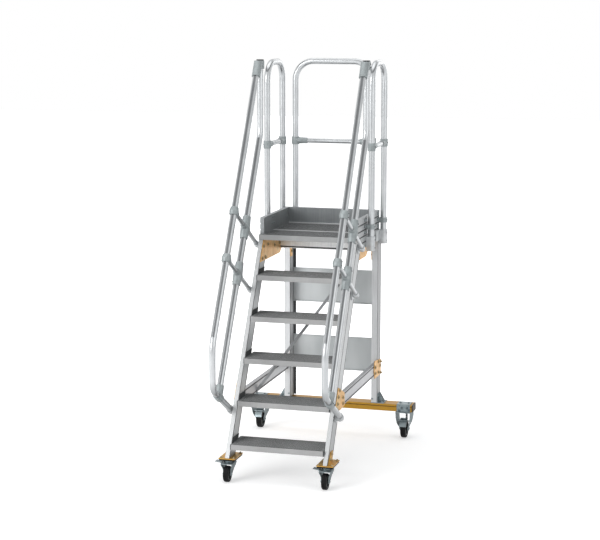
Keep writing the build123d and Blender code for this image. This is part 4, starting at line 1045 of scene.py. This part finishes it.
rear_ends = []
spring_feet = []
for side in ("left", "right"):
    node = "front_tyre_" + side
    fork = "castor_fork_front_" + side
    screws("front_axle_nuts_" + side, hexagon(13, 4), axle_ends(node, "front"), zinc, body=fork)
    x, y = centre_of(node)
    king = [(x, y + FRONT_TRAIL, CROWN_UNDERSIDE, down)]
    screws("king_nut_" + side, hexagon(17, 6), king, zinc, body=fork)
    node = "rear_tyre_" + side
    rear_ends += axle_ends(node, "rear")
    x, y = centre_of(node)
    spring_feet.append(at(x + SPRING_X, y - SPRING_Y, SPRING_FOOT))
screws("rear_axle_nuts", hexagon(15, 5), rear_ends, zinc)
spring = coil(radius=6.6, wire=1.3, turns=8, height=41)
piece_from("fork_springs", [repeat(spring, spring_feet, [up, up])], black_steel)
seal = turned([(33.6, 0), (34.7, 0.4), (34.7, 3.2), (33.6, 3.6)], 40, loop=True)
seal_feet = [at(s * SWIVEL_X, SWIVEL_Y, SEAL_FOOT) for s in (-1, 1)]
piece_from("head_seals", [repeat(seal, seal_feet, [up, up])], pad_rubber)

# %% [markdown]
# ## Light, floor and camera
# The photograph is a studio cut-out: white all round, soft light from above and the left, and no
# hard shadow. A large soft lamp in front, a weaker one at the side and a bright white surrounding
# give that, and metal mirrors the white as it would in a light tent. The camera stands where the
# photograph's own lines meet, worked out once from the treads and posts. The floor glows white
# for the eye away from the stairs, and near them it keeps their faint shadow.

# %% Camera
CAMERA = at(2846.5, -9536.7, 2940.0)
YAW, PITCH, FOCAL_PIXELS, WIDE_PIXELS = math.radians(15.80), math.radians(9.22), 1692.95, 600
lens = bpy.data.cameras.new("studio camera")
lens.sensor_width = 36.0
lens.lens = FOCAL_PIXELS / WIDE_PIXELS * lens.sensor_width
lens.clip_end = 100.0
camera = bpy.data.objects.new("studio camera", lens)
camera.location = CAMERA
camera.rotation_euler = (math.radians(90) - PITCH, 0.0, YAW)
bpy.context.collection.objects.link(camera)
bpy.context.scene.camera = camera
print("lens", round(lens.lens, 1), "mm")


# %% Lamps
def lamp(name, spot, aim, size, power):
    """A square soft lamp that looks at a point."""
    data = bpy.data.lights.new(name, "AREA")
    data.shape = "SQUARE"
    data.size = size
    data.energy = power
    made = bpy.data.objects.new(name, data)
    made.location = spot
    way = np.array(aim) - np.array(spot)
    tilt = math.atan2(math.hypot(way[0], way[1]), -way[2])
    made.rotation_euler = (tilt, 0.0, math.atan2(-way[0], way[1]))
    bpy.context.collection.objects.link(made)
    print(name, "gives", power, "W")


lamp("front lamp", (-5.0, -6.5, 4.6), (0, 0, 1.1), 5.0, 400)
lamp("side lamp", (6.0, -3.0, 3.4), (0, 0, 1.2), 4.0, 80)
lamp("top lamp", (-0.5, 0.5, 6.5), (0, 0, 1.0), 5.0, 120)
lamp("back lamp", (1.5, 6.5, 3.5), (0, 0, 1.2), 4.0, 60)

# %% White surrounding
world = bpy.data.worlds.new("light tent")
bpy.context.scene.world = world
tent = Net(world)
tent.tree.nodes.clear()
soft = tent.node("ShaderNodeBackground", None, {"Color": (0.96, 0.98, 1.0), "Strength": 0.36})
plain = tent.node("ShaderNodeBackground", None, {"Color": (1.0, 1.0, 1.0), "Strength": 1.0})
both = tent.node("ShaderNodeMixShader", None, {0: tent.seen(), 1: soft, 2: plain})
tent.node("ShaderNodeOutputWorld", None, {0: both})
print("surrounding:", len(tent.tree.nodes), "nodes")

# %% Floor
FLOOR_HALF = 30.0
corners = np.array([[-1, -1, 0], [1, -1, 0], [1, 1, 0], [-1, 1, 0]]) * FLOOR_HALF
floor_mesh = bpy.data.meshes.new("studio_floor")
floor_mesh.from_pydata(corners.tolist(), [], [[0, 1, 2, 3]])
floor_finish = Finish("studio floor", (0.80, 0.80, 0.80), 0.0, 0.9)
spot = floor_finish.place()
reach = floor_finish.node("ShaderNodeVectorMath", {"operation": "LENGTH"}, {0: spot}, out="Value")
paint = floor_finish.mix(floor_finish.noise(spot, 3.0), (0.79, 0.79, 0.79), (0.81, 0.81, 0.81))
floor_finish.feed("Base Color", paint)
glow = floor_finish.mix(reach.ramp(0.9, 2.6), (0.46, 0.46, 0.46), (1.0, 1.0, 1.0))
floor_finish.feed("Emission Color", floor_finish.mix(floor_finish.seen(), (0.0, 0.0, 0.0), glow))
floor_finish.feed("Emission Strength", 1.0)
floor_mesh.materials.append(floor_finish.material)
floor = bpy.data.objects.new("studio_floor", floor_mesh)
bpy.context.collection.objects.link(floor)
floor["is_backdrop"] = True
print("floor", 2 * FLOOR_HALF, "m wide")
bpy.context.scene.view_settings.view_transform = "Standard"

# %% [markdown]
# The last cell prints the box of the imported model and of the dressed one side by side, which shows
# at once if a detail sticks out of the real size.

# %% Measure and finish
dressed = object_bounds()
for label, (low, high) in (("packed", cad_box), ("dressed", dressed)):
    print(label, [round(v, 3) for v in high - low])
